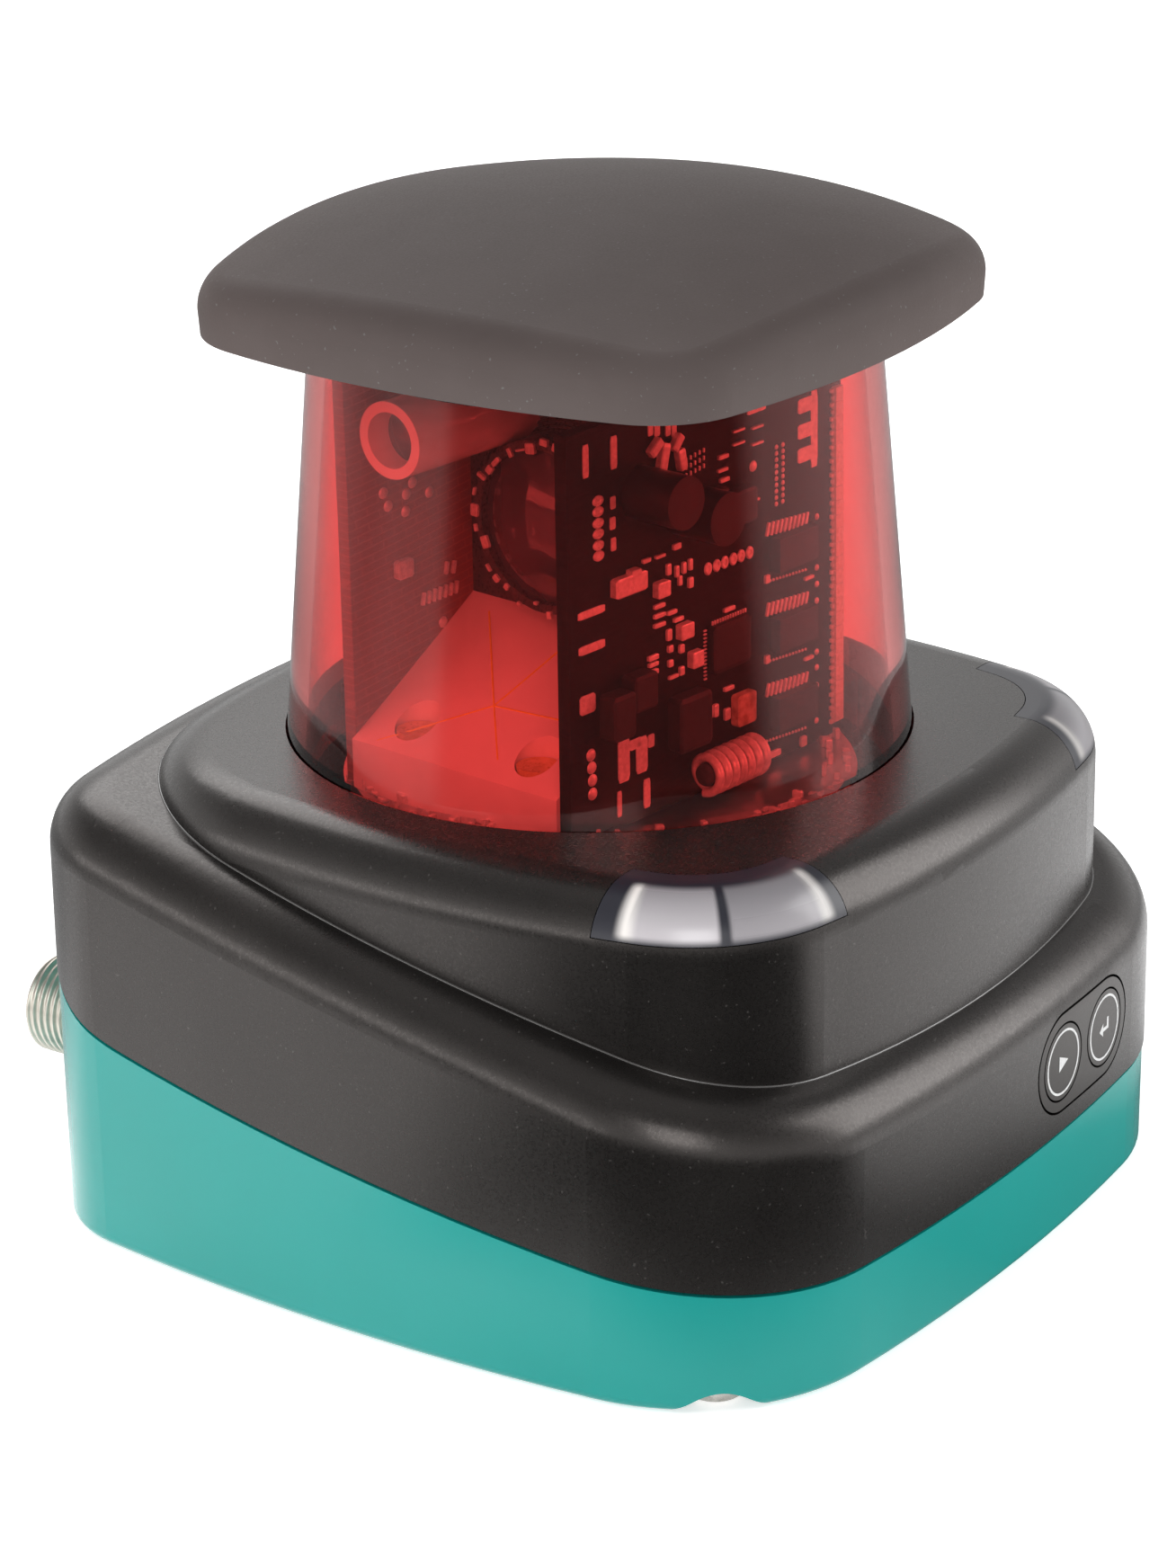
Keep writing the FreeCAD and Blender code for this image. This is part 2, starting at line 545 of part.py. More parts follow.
# Profile corners are radius and height
def turned(label, *corners, where=as_drawn):
    body = new_body(label, where)
    sketch = sketch_on(body, "XZ_Plane")
    profile(sketch, *corners)
    revolve(body, "PartDesign::Revolution", sketch, "V_Axis")
    return body


# Profile corners are length along x and radius, round a level axis at that place
def turned_level(label, y, z, *corners, where=as_drawn):
    body = new_body(label, where)
    sketch = sketch_on(body, "XZ_Plane", f"-({y})", z)
    profile(sketch, *corners)
    revolve(body, "PartDesign::Revolution", sketch, "H_Axis")
    return body


def round_edges(body, base, pick_face, radius):
    doc.recompute()
    wanted = pick_face(base.Shape.Faces, key=lambda face: face.CenterOfMass.z).Edges
    names = []
    for number, edge in enumerate(base.Shape.Edges, start=1):
        if any(edge.isSame(other) for other in wanted):
            names.append(f"Edge{number}")
    fillet = body.newObject("PartDesign::Fillet", "Rounding")
    fillet.Base = (base, names)
    fillet.setExpression("Radius", linked(radius))
    return fillet


def pattern_round(body, feature, count):
    doc.recompute()
    pattern = body.newObject("PartDesign::PolarPattern", "Pattern")
    pattern.Originals = [feature]
    axis = next(item for item in body.Origin.OriginFeatures if item.Role == "Z_Axis")
    pattern.Axis = (axis, [""])
    pattern.Angle = 360
    pattern.Occurrences = count
    body.Tip = pattern
    return pattern


def fuse(label, *items):
    union = doc.addObject("Part::MultiFuse", label)
    union.Label = label
    union.Shapes = list(items)
    return union


def cut(label, base, tool):
    result = doc.addObject("Part::Cut", label)
    result.Label = label
    result.Base = base
    result.Tool = tool
    return result


def common(label, *items):
    result = doc.addObject("Part::MultiCommon", label)
    result.Label = label
    result.Shapes = list(items)
    return result


def group(label, *items):
    result = doc.addObject("Part::Compound", label)
    result.Label = label
    result.Links = list(items)
    return result


# Housing form, as a solid: whole at inset 0, and its hollow at an inset of one wall
reach = "(body_half_x + body_half_y)"
body_outline = ("body_half_x", "body_half_y", "body_curve", "body_front_corner", "body_back_corner")
tier_outline = ("tier_half_x", "tier_half_y", "tier_curve", "tier_front_corner", "tier_back_corner")


def housing_form(label, inset):
    body = new_body(label)
    foot = sketch_on(body, "XY_Plane")
    bulged(foot, *body_outline, "0", inset)
    extrude(body, "PartDesign::Pad", foot, "tier_top")
    side = sketch_on(body, "YZ_Plane")
    span = "(body_half_y + shoulder_margin)"
    profile(
        side,
        (f"-{span}", f"shoulder_front - ({inset})", "shoulder_curve", "in"),
        (span, f"shoulder_back - ({inset})"),
        (span, "2 * tier_top"),
        (f"-{span}", "2 * tier_top"),
    )
    slope = extrude(body, "PartDesign::Pocket", side, f"2 * {reach}", True)
    round_edges(body, slope, max, f"shoulder_round - ({inset})")
    tier = sketch_on(body, "XY_Plane", "tier_root")
    bulged(tier, *tier_outline, "tier_shift", inset)
    top = extrude(body, "PartDesign::Pad", tier, f"tier_top - tier_root - ({inset})")
    round_edges(body, top, max, f"tier_round - ({inset})")
    return body


# Everything over the parting line, which climbs gently along the sides and turns up at the back
def over_parting(label, offset):
    front, back = f"parting_front + ({offset})", f"parting_back + ({offset})"
    corners = [
        (f"-{reach}", front),
        ("-(body_half_y + shoulder_margin)", front, "parting_curve"),
        ("body_half_y - parting_bend", f"parting_low + ({offset})", "parting_turn"),
        ("body_half_y + 2 * gasket", back),
        (reach, back),
        (reach, "2 * tier_top"),
        (f"-{reach}", "2 * tier_top"),
    ]
    return prism(label, "YZ_Plane", "0", f"2 * {reach}", (profile, *corners), both_ways=True)


four_ways = [("-", "-"), ("", "-"), ("-", ""), ("", "")]
front_spots = [("-front_screw_x", "-front_screw_y"), ("front_screw_x", "-front_screw_y")]
back_spots = [("-back_screw_x", "back_screw_y"), ("back_screw_x", "back_screw_y")]
mount_spots = [(f"{x}mount_half", f"{y}mount_half") for x, y in four_ways]
standoff_spots = [(f"{x}standoff_x", y) for y in ("-standoff_front", "standoff_back") for x in ("-", "")]
tower_step = "tower_screw_ring * sqrt(0.5)"
tower_spots = [(f"{x}{tower_step}", f"{y}{tower_step}") for x, y in four_ways]
deck_spots = [("-carrier_screw_front", f"{y}carrier_screw_y") for y in ("-", "")]
tail_spots = [("carrier_screw_back", f"{y}carrier_screw_y") for y in ("-", "")]


def circles(spots, radius):
    return [(circle, x, y, radius) for x, y in spots]


# Screws that stand head up at a seat, or head down with the shank above it
def screws(label, spots, seat, length, shank, head, head_height, where=as_drawn, head_up=True):
    body = new_body(label, where)
    heads = sketch_on(body, "XY_Plane", seat if head_up else f"{seat} - {head_height}")
    draw(heads, circles(spots, head))
    extrude(body, "PartDesign::Pad", heads, head_height)
    shanks = sketch_on(body, "XY_Plane", f"{seat} - {length}" if head_up else seat)
    draw(shanks, circles(spots, shank))
    extrude(body, "PartDesign::Pad", shanks, length)
    return body


# Base tray
def tray_form():
    body = new_body("tray_form")
    outline = sketch_on(body, "XY_Plane")
    bulged(outline, *body_outline, "0", "tray_bottom_inset")
    sides = extrude(body, "PartDesign::Pad", outline, "parting_back + tray_floor")
    sides.setExpression("TaperAngle", linked("tray_draft"))
    round_edges(body, sides, min, "tray_edge")
    return body


def corner_recess(number, x, y):
    hole = "screw_radius + screw_hole_gap"
    return turned(
        f"corner_recess_{number}",
        ("0", "-recess_depth"), ("2 * recess_mouth - recess_throat", "-recess_depth"),
        ("recess_throat", "recess_depth"), (hole, "recess_depth"),
        (hole, "2 * parting_back"), ("0", "2 * parting_back"),
        where=lambda item: place(item, x, y),
    )


def facing_back(x):
    return lambda item: place(item, x, z="plug_z", axis=Vector(1, 0, 0), angle="-90")


def plug_hole(number, x):
    face = "plug_flange + plug_gap"
    hole = "plug_thread + plug_gap"
    back = "nut_radius + plug_gap"
    return turned(
        f"plug_hole_{number}",
        ("0", "plug_rear"), (back, "plug_rear"), (back, "plug_wall_back"), (hole, "plug_wall_back"),
        (hole, "plug_seat"), (face, "plug_seat"), (face, "plug_end"), ("0", "plug_end"),
        where=facing_back(x),
    )


def base_tray():
    form = tray_form()
    tall = "parting_back + tray_floor"
    hollow_inset = "tray_bottom_inset + tray_wall"
    hollow = prism("tray_hollow", "XY_Plane", "tray_floor", tall, (bulged, *body_outline, "0", hollow_inset))
    root = "tray_floor / 2"
    corners = circles(front_spots + back_spots, "post_radius")
    pillars = prism("tray_pillars", "XY_Plane", root, tall, *corners)
    mounts = circles(mount_spots, "mount_boss")
    bosses = prism("tray_bosses", "XY_Plane", root, f"mount_boss_top - {root}", *mounts)
    stands = circles(standoff_spots, "standoff_radius")
    standoffs = prism("tray_standoffs", "XY_Plane", root, f"board_z - {root}", *stands)
    solid = fuse("tray_solid", cut("tray_walls", form, hollow), pillars, bosses, standoffs)
    board_hole = "board_screw + thread_gap"
    tools = [
        over_parting("tray_trim", "-gasket"),
        prism("mount_holes", "XY_Plane", "-tray_floor", "tray_floor + mount_depth",
              *circles(mount_spots, "mount_hole")),
        prism("standoff_holes", "XY_Plane", "board_z - board_screw_length", "2 * board_screw_length",
              *circles(standoff_spots, board_hole)),
        prism("tower_holes", "XY_Plane", "tray_floor + tower_flange_thick - board_screw_length",
              "board_screw_length", *circles(tower_spots, board_hole), where=on_axis),
    ]
    for number, (x, y) in enumerate(front_spots + back_spots):
        tools.append(corner_recess(number, x, y))
    for number, x in enumerate(("-plug_x", "plug_x")):
        tools.append(plug_hole(number, x))
    return cut("base_tray", common("tray_clipped", solid, form), fuse("tray_tools", *tools))


# Upper housing with its lamp windows and keypad, all cut from one skin
def lamp_block(label, side, bottom, gap):
    edge = f"(lamp_reach_x + ({gap}))"
    spans = {"left": (f"-{reach}", f"-{edge}"), "right": (edge, reach)}
    low, top = spans[side]
    ahead = f"-(lamp_reach_y + ({gap}))"
    return prism(label, "XY_Plane", bottom, "tier_top", (rectangle, low, f"-{reach}", top, ahead))


def lamp_zone(side, gap, purpose):
    block = lamp_block(f"{purpose}_block_{side}", side, f"lamp_bottom + ({gap})", gap)
    core = prism(f"{purpose}_core_{side}", "XY_Plane", "0", "2 * tier_top",
                 (bulged, *tier_outline, "tier_shift", f"lamp_inset - ({gap})"))
    return cut(f"{purpose}_zone_{side}", block, core)


def keypad_block(label, gap):
    return prism(label, "XZ_Plane", "key_stem_end", "body_half_y",
                 (stadium, "keypad_x", "keypad_z", "key_step", f"keypad_radius - ({gap})"))


def screw_holes(label, spots, length):
    return prism(label, "XY_Plane", "0", f"recess_depth + {length} + screw_radius",
                 *circles(spots, "screw_radius + thread_gap"))


def upper_housing(outer, skin):
    upper = over_parting("housing_side", "0")
    corners = circles(front_spots + back_spots, "post_radius")
    bars = prism("housing_bars", "XY_Plane", "0", "post_top", *corners)
    solid = fuse("housing_solid", skin, common("housing_posts", bars, outer))
    opening = prism("drum_opening", "XY_Plane", "tier_top - 2 * shell", "3 * shell",
                    (circle, "0", "0", "drum_base + drum_gap"), where=on_axis)
    tools = fuse(
        "housing_tools", opening,
        lamp_zone("left", "0", "opening"), lamp_zone("right", "0", "opening"),
        keypad_block("keypad_opening", "0"),
        screw_holes("front_post_holes", front_spots, "front_screw_length"),
        screw_holes("back_post_holes", back_spots, "back_screw_length"),
    )
    return cut("upper_housing", common("housing_trimmed", solid, upper), tools)


def lamp_window(side, skin):
    return common(f"{side}_lamp_window", skin, lamp_zone(side, "lamp_gap", "window"))


guide_inset = "shell + guide_gap"


# A lamp's own parts are drawn along the diagonal from the lamp's inner corner
def along_lamp(side):
    x, turn = {"left": ("-lamp_reach_x", "-135"), "right": ("lamp_reach_x", "-45")}[side]
    return lambda item: place(item, x, "tier_shift - lamp_reach_y", angle=turn)


def guide_pair(side, form):
    block = lamp_block(f"{side}_guide_block", side, "guide_bottom", "guide_end")
    core = prism(f"{side}_guide_core", "XY_Plane", "0", "2 * tier_top",
                 (bulged, *tier_outline, "tier_shift", f"{guide_inset} + guide_depth"))
    split = prism(f"{side}_guide_split", "XY_Plane", "0", "2 * tier_top",
                  (rectangle, "0", "-guide_split / 2", f"2 * {reach}", "guide_split / 2"),
                  where=along_lamp(side))
    bars = common(f"{side}_guide_bars", form, block)
    return cut(f"{side}_guides", bars, fuse(f"{side}_guide_tools", core, split))


def lamp_board(side):
    return prism(f"{side}_lamp_board", "YZ_Plane", "lamp_board_set", "lamp_board_thick",
                 (rectangle, "-lamp_board_half", "guide_bottom", "lamp_board_half", "tier_top - shell"),
                 where=along_lamp(side))


def lamp_source_pair(side):
    spots = []
    for middle in ("-lamp_led_step", "lamp_led_step"):
        spots.append((rectangle, f"{middle} - lamp_led_half", "lamp_led_z - lamp_led_half",
                      f"{middle} + lamp_led_half", "lamp_led_z + lamp_led_half"))
    return prism(f"{side}_lamp_sources", "YZ_Plane", "lamp_board_set + lamp_board_thick",
                 "lamp_led_height", *spots, where=along_lamp(side))


# Keypad
key_places = {"play": "keypad_x - key_step", "enter": "keypad_x + key_step"}
stem_root = "(body_half_y - shell / 2)"
switch_base = "(key_stem_end - key_travel - stem_gap - switch_height)"


def keypad_panel(skin):
    plate = common("keypad_plate", skin, keypad_block("keypad_form", "keypad_gap"))
    pegs = prism("keypad_pegs", "XZ_Plane", switch_base, f"{stem_root} - {switch_base}",
                 (circle, "keypad_x", "keypad_z - peg_step", "peg_radius"),
                 (circle, "keypad_x", "keypad_z + peg_step", "peg_radius"))
    holes = [(circle, x, "keypad_z", "key_radius + key_gap") for x in key_places.values()]
    openings = prism("key_openings", "XZ_Plane", "key_stem_end", "body_half_y", *holes)
    return cut("keypad_panel", fuse("keypad_solid", plate, pegs), openings)


def key(name, skin):
    x = key_places[name]
    column = prism(f"{name}_column", "XZ_Plane", "key_stem_end", "body_half_y",
                   (circle, x, "keypad_z", "key_radius"))
    stem = prism(f"{name}_stem", "XZ_Plane", "key_stem_end", f"{stem_root} - key_stem_end",
                 (circle, x, "keypad_z", "key_stem"))
    return fuse(f"{name}_key", common(f"{name}_face", skin, column), stem)


def key_switches():
    blocks = []
    for x in key_places.values():
        blocks.append((rectangle, f"{x} - switch_half", "keypad_z - switch_half",
                       f"{x} + switch_half", "keypad_z + switch_half"))
    return prism("key_switches", "XZ_Plane", switch_base, "switch_height", *blocks)


def key_board():
    return prism("key_board", "XZ_Plane", f"{switch_base} - key_board_thick", "key_board_thick",
                 (stadium, "keypad_x", "keypad_z", "key_step", "keypad_radius - 3 * keypad_gap"))


def parting_gasket():
    ring = prism("gasket_ring", "XY_Plane", "0", "tier_top",
                 (bulged, *body_outline, "0", "gasket_inset"),
                 (bulged, *body_outline, "0", "gasket_inset + gasket_width"))
    trimmed = common("gasket_trimmed", ring, over_parting("gasket_underside", "-gasket"))
    return cut("parting_gasket", trimmed, over_parting("gasket_topside", "0"))


# Connectors, drawn along their own axis and turned to face the back
def connector(label, x):
    flange = "plug_seat + plug_ring"
    neck = "plug_wall_back - nut_thick - plug_ring"
    floor = "plug_end - plug_socket_depth"
    return turned(
        label,
        ("0", "plug_rear"), ("plug_rear_radius", "plug_rear"), ("plug_rear_radius", neck),
        ("plug_thread", neck), ("plug_thread", flange), ("plug_flange", flange),
        ("plug_flange", f"{flange} + plug_flange_thick"), ("plug_thread", f"{flange} + plug_flange_thick"),
        ("plug_thread", "plug_end"), ("plug_socket", "plug_end"), ("plug_socket", floor), ("0", floor),
        where=facing_back(x),
    )


def connector_pieces(kind, make):
    return group(kind, *[make(f"{kind}_{number}", x) for number, x in enumerate(("-plug_x", "plug_x"))])


def connector_seal(label, x):
    ring = [(circle, "0", "0", radius) for radius in ("plug_flange", "plug_thread + fit_gap")]
    return prism(label, "XY_Plane", "plug_seat", "plug_ring", *ring, where=facing_back(x))


def connector_nut(label, x):
    half = "nut_radius / 2"
    tall = "nut_radius * sqrt(0.75)"
    hexagon = (profile, ("nut_radius", "0"), (half, tall), (f"-{half}", tall),
               ("-nut_radius", "0"), (f"-{half}", f"-{tall}"), (half, f"-{tall}"))
    bore = (circle, "0", "0", "plug_thread + thread_gap")
    return prism(label, "XY_Plane", "plug_wall_back - nut_thick", "nut_thick", hexagon, bore,
                 where=facing_back(x))


pin_spots = [(f"{x}pin_step", "0") for x in ("-", "")] + [("0", f"{y}pin_step") for y in ("-", "")]
carrier_start = "plug_end - plug_socket_depth"


def contact_carrier(label, x):
    holes = circles(pin_spots, "pin_radius + fit_gap")
    return prism(label, "XY_Plane", carrier_start, "insert_height",
                 (circle, "0", "0", "insert_radius"), *holes, where=facing_back(x))


def contact_pins(label, x):
    return prism(label, "XY_Plane", carrier_start, "insert_height + pin_length",
                 *circles(pin_spots, "pin_radius"), where=facing_back(x))


# Drum and cap
def drum_window():
    flange_top = "tier_top - shell - drum_seal"
    flange_bottom = f"{flange_top} - drum_flange_thick"
    rim = "drum_top - drum_rim_thick"
    slope = "(drum_base - drum_head) / (drum_top - tier_top)"
    return turned(
        "drum_window",
        ("drum_base - drum_wall", flange_bottom), ("drum_flange", flange_bottom),
        ("drum_flange", flange_top), ("drum_base", flange_top), ("drum_base", "tier_top"),
        ("drum_head", "drum_top"), ("cap_seal + cap_seal_width", "drum_top"),
        ("cap_seal + cap_seal_width", "drum_top - cap_seal_depth"), ("cap_seal", "drum_top - cap_seal_depth"),
        ("cap_seal", "drum_top"), ("drum_rim", "drum_top"), ("drum_rim", rim),
        (f"drum_head - drum_wall + drum_rim_thick * {slope}", rim), ("drum_base - drum_wall", "tier_top"),
        where=on_axis,
    )


def ring(label, inner, outer, bottom, height, where=on_axis):
    return prism(label, "XY_Plane", bottom, height, (circle, "0", "0", outer), (circle, "0", "0", inner),
                 where=where)


def top_cap():
    body = new_body("top_cap", on_axis)
    outline = sketch_on(body, "XY_Plane", "drum_top")
    bulged(outline, "cap_half_x", "cap_half_y", "cap_curve", "cap_front_corner", "cap_back_corner")
    block = extrude(body, "PartDesign::Pad", outline, "cap_apex - drum_top")
    block.setExpression("TaperAngle", linked("cap_flare"))
    dome = sketch_on(body, "XZ_Plane")
    edge = "(cap_half_x + cap_half_y)"
    drop = f"cap_dome - sqrt(cap_dome ^ 2 - {edge} ^ 2)"
    profile(dome, ("0", "cap_apex", "cap_dome", "in"), (edge, f"cap_apex - ({drop})"),
            (edge, "2 * cap_apex"), ("0", "2 * cap_apex"))
    domed = revolve(body, "PartDesign::Groove", dome, "V_Axis")
    round_edges(body, domed, max, "cap_round")
    spigot = "drum_rim - cap_spigot_gap"
    collar = sketch_on(body, "XY_Plane", "drum_top - drum_rim_thick")
    circle(collar, "0", "0", spigot)
    extrude(body, "PartDesign::Pad", collar, "drum_rim_thick")
    hollow = sketch_on(body, "XZ_Plane")
    inner = f"({spigot} - cap_spigot_wall)"
    roof = f"cap_apex - cap_dome + sqrt((cap_dome - cap_wall) ^ 2 - {inner} ^ 2)"
    profile(hollow, ("0", "drum_top - 2 * drum_rim_thick"), (inner, "drum_top - 2 * drum_rim_thick"),
            (inner, roof, "cap_dome - cap_wall"), ("0", "cap_apex - cap_wall"))
    revolve(body, "PartDesign::Groove", hollow, "V_Axis")
    return body


# Control board and what stands on it
board_top = "board_z + board_thick"


def control_board():
    holes = circles(standoff_spots, "board_screw + screw_hole_gap")
    return prism("control_board", "XY_Plane", "board_z", "board_thick",
                 (rectangle, "-control_half_x", "-control_front", "control_half_x", "control_back"),
                 (circle, "0", "axis_y", "tower_radius + 5 * drum_gap"), *holes)


def on_board(label, height, *drawing):
    return prism(label, "XY_Plane", board_top, height, *drawing)


def processor_chip():
    x, y = "-control_half_x / 2", "-control_front + 1.5 * chip_half"
    return on_board("processor_chip", "chip_height",
                    (rectangle, f"{x} - chip_half", f"{y} - chip_half", f"{x} + chip_half", f"{y} + chip_half"))


def power_module():
    x, y = "-control_half_x / 2 - power_length / 2", "control_back - 2 * header_width - power_width"
    return on_board("power_module", "power_height",
                    (rectangle, x, y, f"{x} + power_length", f"{y} + power_width"))


def filter_capacitors():
    y = "-control_front + 2 * filter_radius"
    spots = [(f"control_half_x / 2 + {side} * 1.3 * filter_radius", y) for side in ("-1", "1")]
    return on_board("filter_capacitors", "filter_height", *circles(spots, "filter_radius"))


def board_headers():
    low, top = "control_back - 1.5 * header_width", "control_back - 0.5 * header_width"
    blocks = []
    for x in ("-control_half_x / 2", "control_half_x / 2"):
        blocks.append((rectangle, f"{x} - header_length / 2", low, f"{x} + header_length / 2", top))
    return on_board("board_headers", "header_height", *blocks)


def encoder_sensor():
    inner = "bell_outer + fork_gap"
    outer = "disc_radius + fork_gap"
    back = f"{outer} + fork_wall"
    low, top = "bell_bottom - disc_thick - fork_gap", "bell_bottom + fork_gap"
    return prism("encoder_sensor", "XZ_Plane", "0", "2 * fork_half",
                 (profile, (inner, board_top), (back, board_top), (back, f"{top} + fork_wall"),
                  (inner, f"{top} + fork_wall"), (inner, top), (outer, top), (outer, low), (inner, low)),
                 where=on_axis, both_ways=True)


# Bearing tower, bearings and motor
def bearing_tower():
    seat = "bearing_radius + fit_gap"
    body = turned(
        "bearing_tower",
        (seat, "tray_floor"), ("tower_flange", "tray_floor"),
        ("tower_flange", "tray_floor + tower_flange_thick"),
        ("tower_radius", "tray_floor + tower_flange_thick"),
        ("tower_radius", "tower_top"), (seat, "tower_top"), (seat, "upper_bearing"),
        ("tower_bore", "upper_bearing"), ("tower_bore", "lower_bearing + bearing_width"),
        (seat, "lower_bearing + bearing_width"),
        where=on_axis,
    )
    holes = sketch_on(body, "XY_Plane", "tray_floor + tower_flange_thick")
    draw(holes, circles(tower_spots, "board_screw + screw_hole_gap"))
    extrude(body, "PartDesign::Pocket", holes, "tower_flange_thick")
    return body


def bearing_ring(label, inner, outer, bottom):
    body = turned(label, (inner, bottom), (outer, bottom), (outer, f"{bottom} + bearing_width"),
                  (inner, f"{bottom} + bearing_width"), where=on_axis)
    race = sketch_on(body, "XZ_Plane")
    circle(race, "ball_ring", f"{bottom} + bearing_width / 2", "ball_radius + ball_gap")
    revolve(body, "PartDesign::Groove", race, "V_Axis")
    return body


def bearing_balls(label, bottom):
    balls = []
    for number in range(ball_count):
        ball = doc.addObject("Part::Sphere", f"{label}_{number}")
        ball.setExpression("Radius", linked("ball_radius"))
        turn = 360 * number / ball_count
        place(ball, f"ball_ring * cos({turn})", f"axis_y + ball_ring * sin({turn})",
              f"{bottom} + bearing_width / 2")
        balls.append(ball)
    return group(label, *balls)


def bearing(name, bottom):
    return [
        bearing_ring(f"{name}_bearing_outer", "ball_ring + race_gap", "bearing_radius", bottom),
        bearing_balls(f"{name}_bearing_balls", bottom),
        bearing_ring(f"{name}_bearing_inner", "shaft_radius + fit_gap", "ball_ring - race_gap", bottom),
    ]


def stator_core():
    body = ring("stator_core", "tower_radius + fit_gap", "stator_yoke", "stator_bottom", "stator_height")
    sketch = sketch_on(body, "XY_Plane", "stator_bottom")
    neck = "stator_radius - shoe_thick"
    profile(sketch, ("stator_yoke - tooth_half", "-tooth_half"), (neck, "-tooth_half"), (neck, "-shoe_half"),
            ("sqrt(stator_radius ^ 2 - shoe_half ^ 2)", "-shoe_half", "stator_radius"),
            ("sqrt(stator_radius ^ 2 - shoe_half ^ 2)", "shoe_half"), (neck, "shoe_half"),
            (neck, "tooth_half"), ("stator_yoke - tooth_half", "tooth_half"))
    tooth = extrude(body, "PartDesign::Pad", sketch, "stator_height")
    pattern_round(body, tooth, tooth_count)
    return body


def stator_coils():
    body = new_body("stator_coils", on_axis)
    start = "stator_yoke + coil_gap"
    end = "stator_radius - shoe_thick - coil_gap"
    sketch = sketch_on(body, "YZ_Plane", start)
    for room in ("coil_gap + coil_thick", "coil_gap"):
        rectangle(sketch, f"-tooth_half - ({room})", f"stator_bottom - ({room})",
                  f"tooth_half + {room}", f"stator_bottom + stator_height + {room}")
    coil = extrude(body, "PartDesign::Pad", sketch, f"{end} - ({start})")
    pattern_round(body, coil, tooth_count)
    return body


# Rotor
def rotor_shaft():
    lower = "lower_bearing + bearing_width"
    return turned(
        "rotor_shaft",
        ("0", "shaft_bottom"), ("shaft_radius", "shaft_bottom"),
        ("shaft_radius", lower), ("shaft_collar", lower),
        ("shaft_collar", "upper_bearing"), ("shaft_radius", "upper_bearing"), ("shaft_radius", "platform_top"),
        ("0", "platform_top"),
        where=on_rotor,
    )


def rotor_platform():
    bore = "shaft_radius + fit_gap"
    hub = "platform_bottom - hub_length"
    body = turned(
        "rotor_platform",
        (bore, hub), ("hub_radius", hub), ("hub_radius", "platform_bottom"), ("bell_inner", "platform_bottom"),
        ("bell_inner", "bell_bottom"), ("bell_outer", "bell_bottom"), ("bell_outer", "platform_top"),
        (bore, "platform_top"),
        where=on_rotor,
    )
    holes = sketch_on(body, "XY_Plane", "platform_top")
    draw(holes, circles(deck_spots + tail_spots, "board_screw + thread_gap"))
    extrude(body, "PartDesign::Pocket", holes, "platform_top - platform_bottom")
    return body


carrier_base = "(platform_top + carrier_floor)"


def optics_carrier():
    body = new_body("optics_carrier", on_rotor)
    floor = sketch_on(body, "XY_Plane", "platform_top")
    rectangle(floor, "-carrier_nose", "-board_back", "carrier_tail", "board_back")
    extrude(body, "PartDesign::Pad", floor, "carrier_floor")
    deck = sketch_on(body, "XZ_Plane")
    profile(deck, ("-carrier_nose", "platform_top"), ("-lens_wall_front", "platform_top"),
            ("-lens_wall_front", "deck_high"), ("-carrier_nose", "deck_low"))
    extrude(body, "PartDesign::Pad", deck, "2 * board_back", True)
    walls = sketch_on(body, "XY_Plane", "platform_top")
    lens_back = "lens_wall_thick - lens_wall_front"
    inside = "board_back - carrier_wall"
    profile(walls, ("-lens_wall_front", "-board_back"), ("carrier_tail", "-board_back"),
            ("carrier_tail", f"-({inside})"), (lens_back, f"-({inside})"), (lens_back, inside),
            ("carrier_tail", inside), ("carrier_tail", "board_back"), ("-lens_wall_front", "board_back"))
    extrude(body, "PartDesign::Pad", walls, "head_top - carrier_wall - platform_top")
    ports = sketch_on(body, "YZ_Plane", lens_back)
    circle(ports, "0", "lens_z", "lens_radius")
    circle(ports, "tube_y", "tube_z", "tube_radius + fit_gap")
    cutter = extrude(body, "PartDesign::Pocket", ports, "lens_wall_thick")
    cutter.Reversed = False
    for spots, seat in ((deck_spots, "deck_seat"), (tail_spots, carrier_base)):
        wells = sketch_on(body, "XY_Plane", "head_top")
        draw(wells, circles(spots, "board_screw_head + screw_hole_gap"))
        extrude(body, "PartDesign::Pocket", wells, f"head_top - {seat}")
        holes = sketch_on(body, "XY_Plane", seat)
        draw(holes, circles(spots, "board_screw + screw_hole_gap"))
        extrude(body, "PartDesign::Pocket", holes, f"{seat} - platform_top")
    return body


board_face = "(board_back + board_thick)"


def head_board(label, start):
    return prism(label, "XZ_Plane", start, "board_thick",
                 (rectangle, "-head_board_half", "board_bottom", "head_board_half", "head_top"), where=on_rotor)


# Row of equal blocks up the display board
def board_row(label, x, half_x, low, half_z, height, pitch, count):
    blocks = []
    for number in range(count):
        middle = f"({low} + {number} * {pitch})"
        blocks.append((rectangle, f"{x} - {half_x}", f"{middle} - {half_z}",
                       f"{x} + {half_x}", f"{middle} + {half_z}"))
    return prism(label, "XZ_Plane", board_face, height, *blocks, where=on_rotor)


def display_capacitors():
    spots = [("can_x", "can_z"), ("can_x + can_step_x", "can_z + can_step_z")]
    return prism("display_capacitors", "XZ_Plane", board_face, "can_height",
                 *circles(spots, "can_radius"), where=on_rotor)


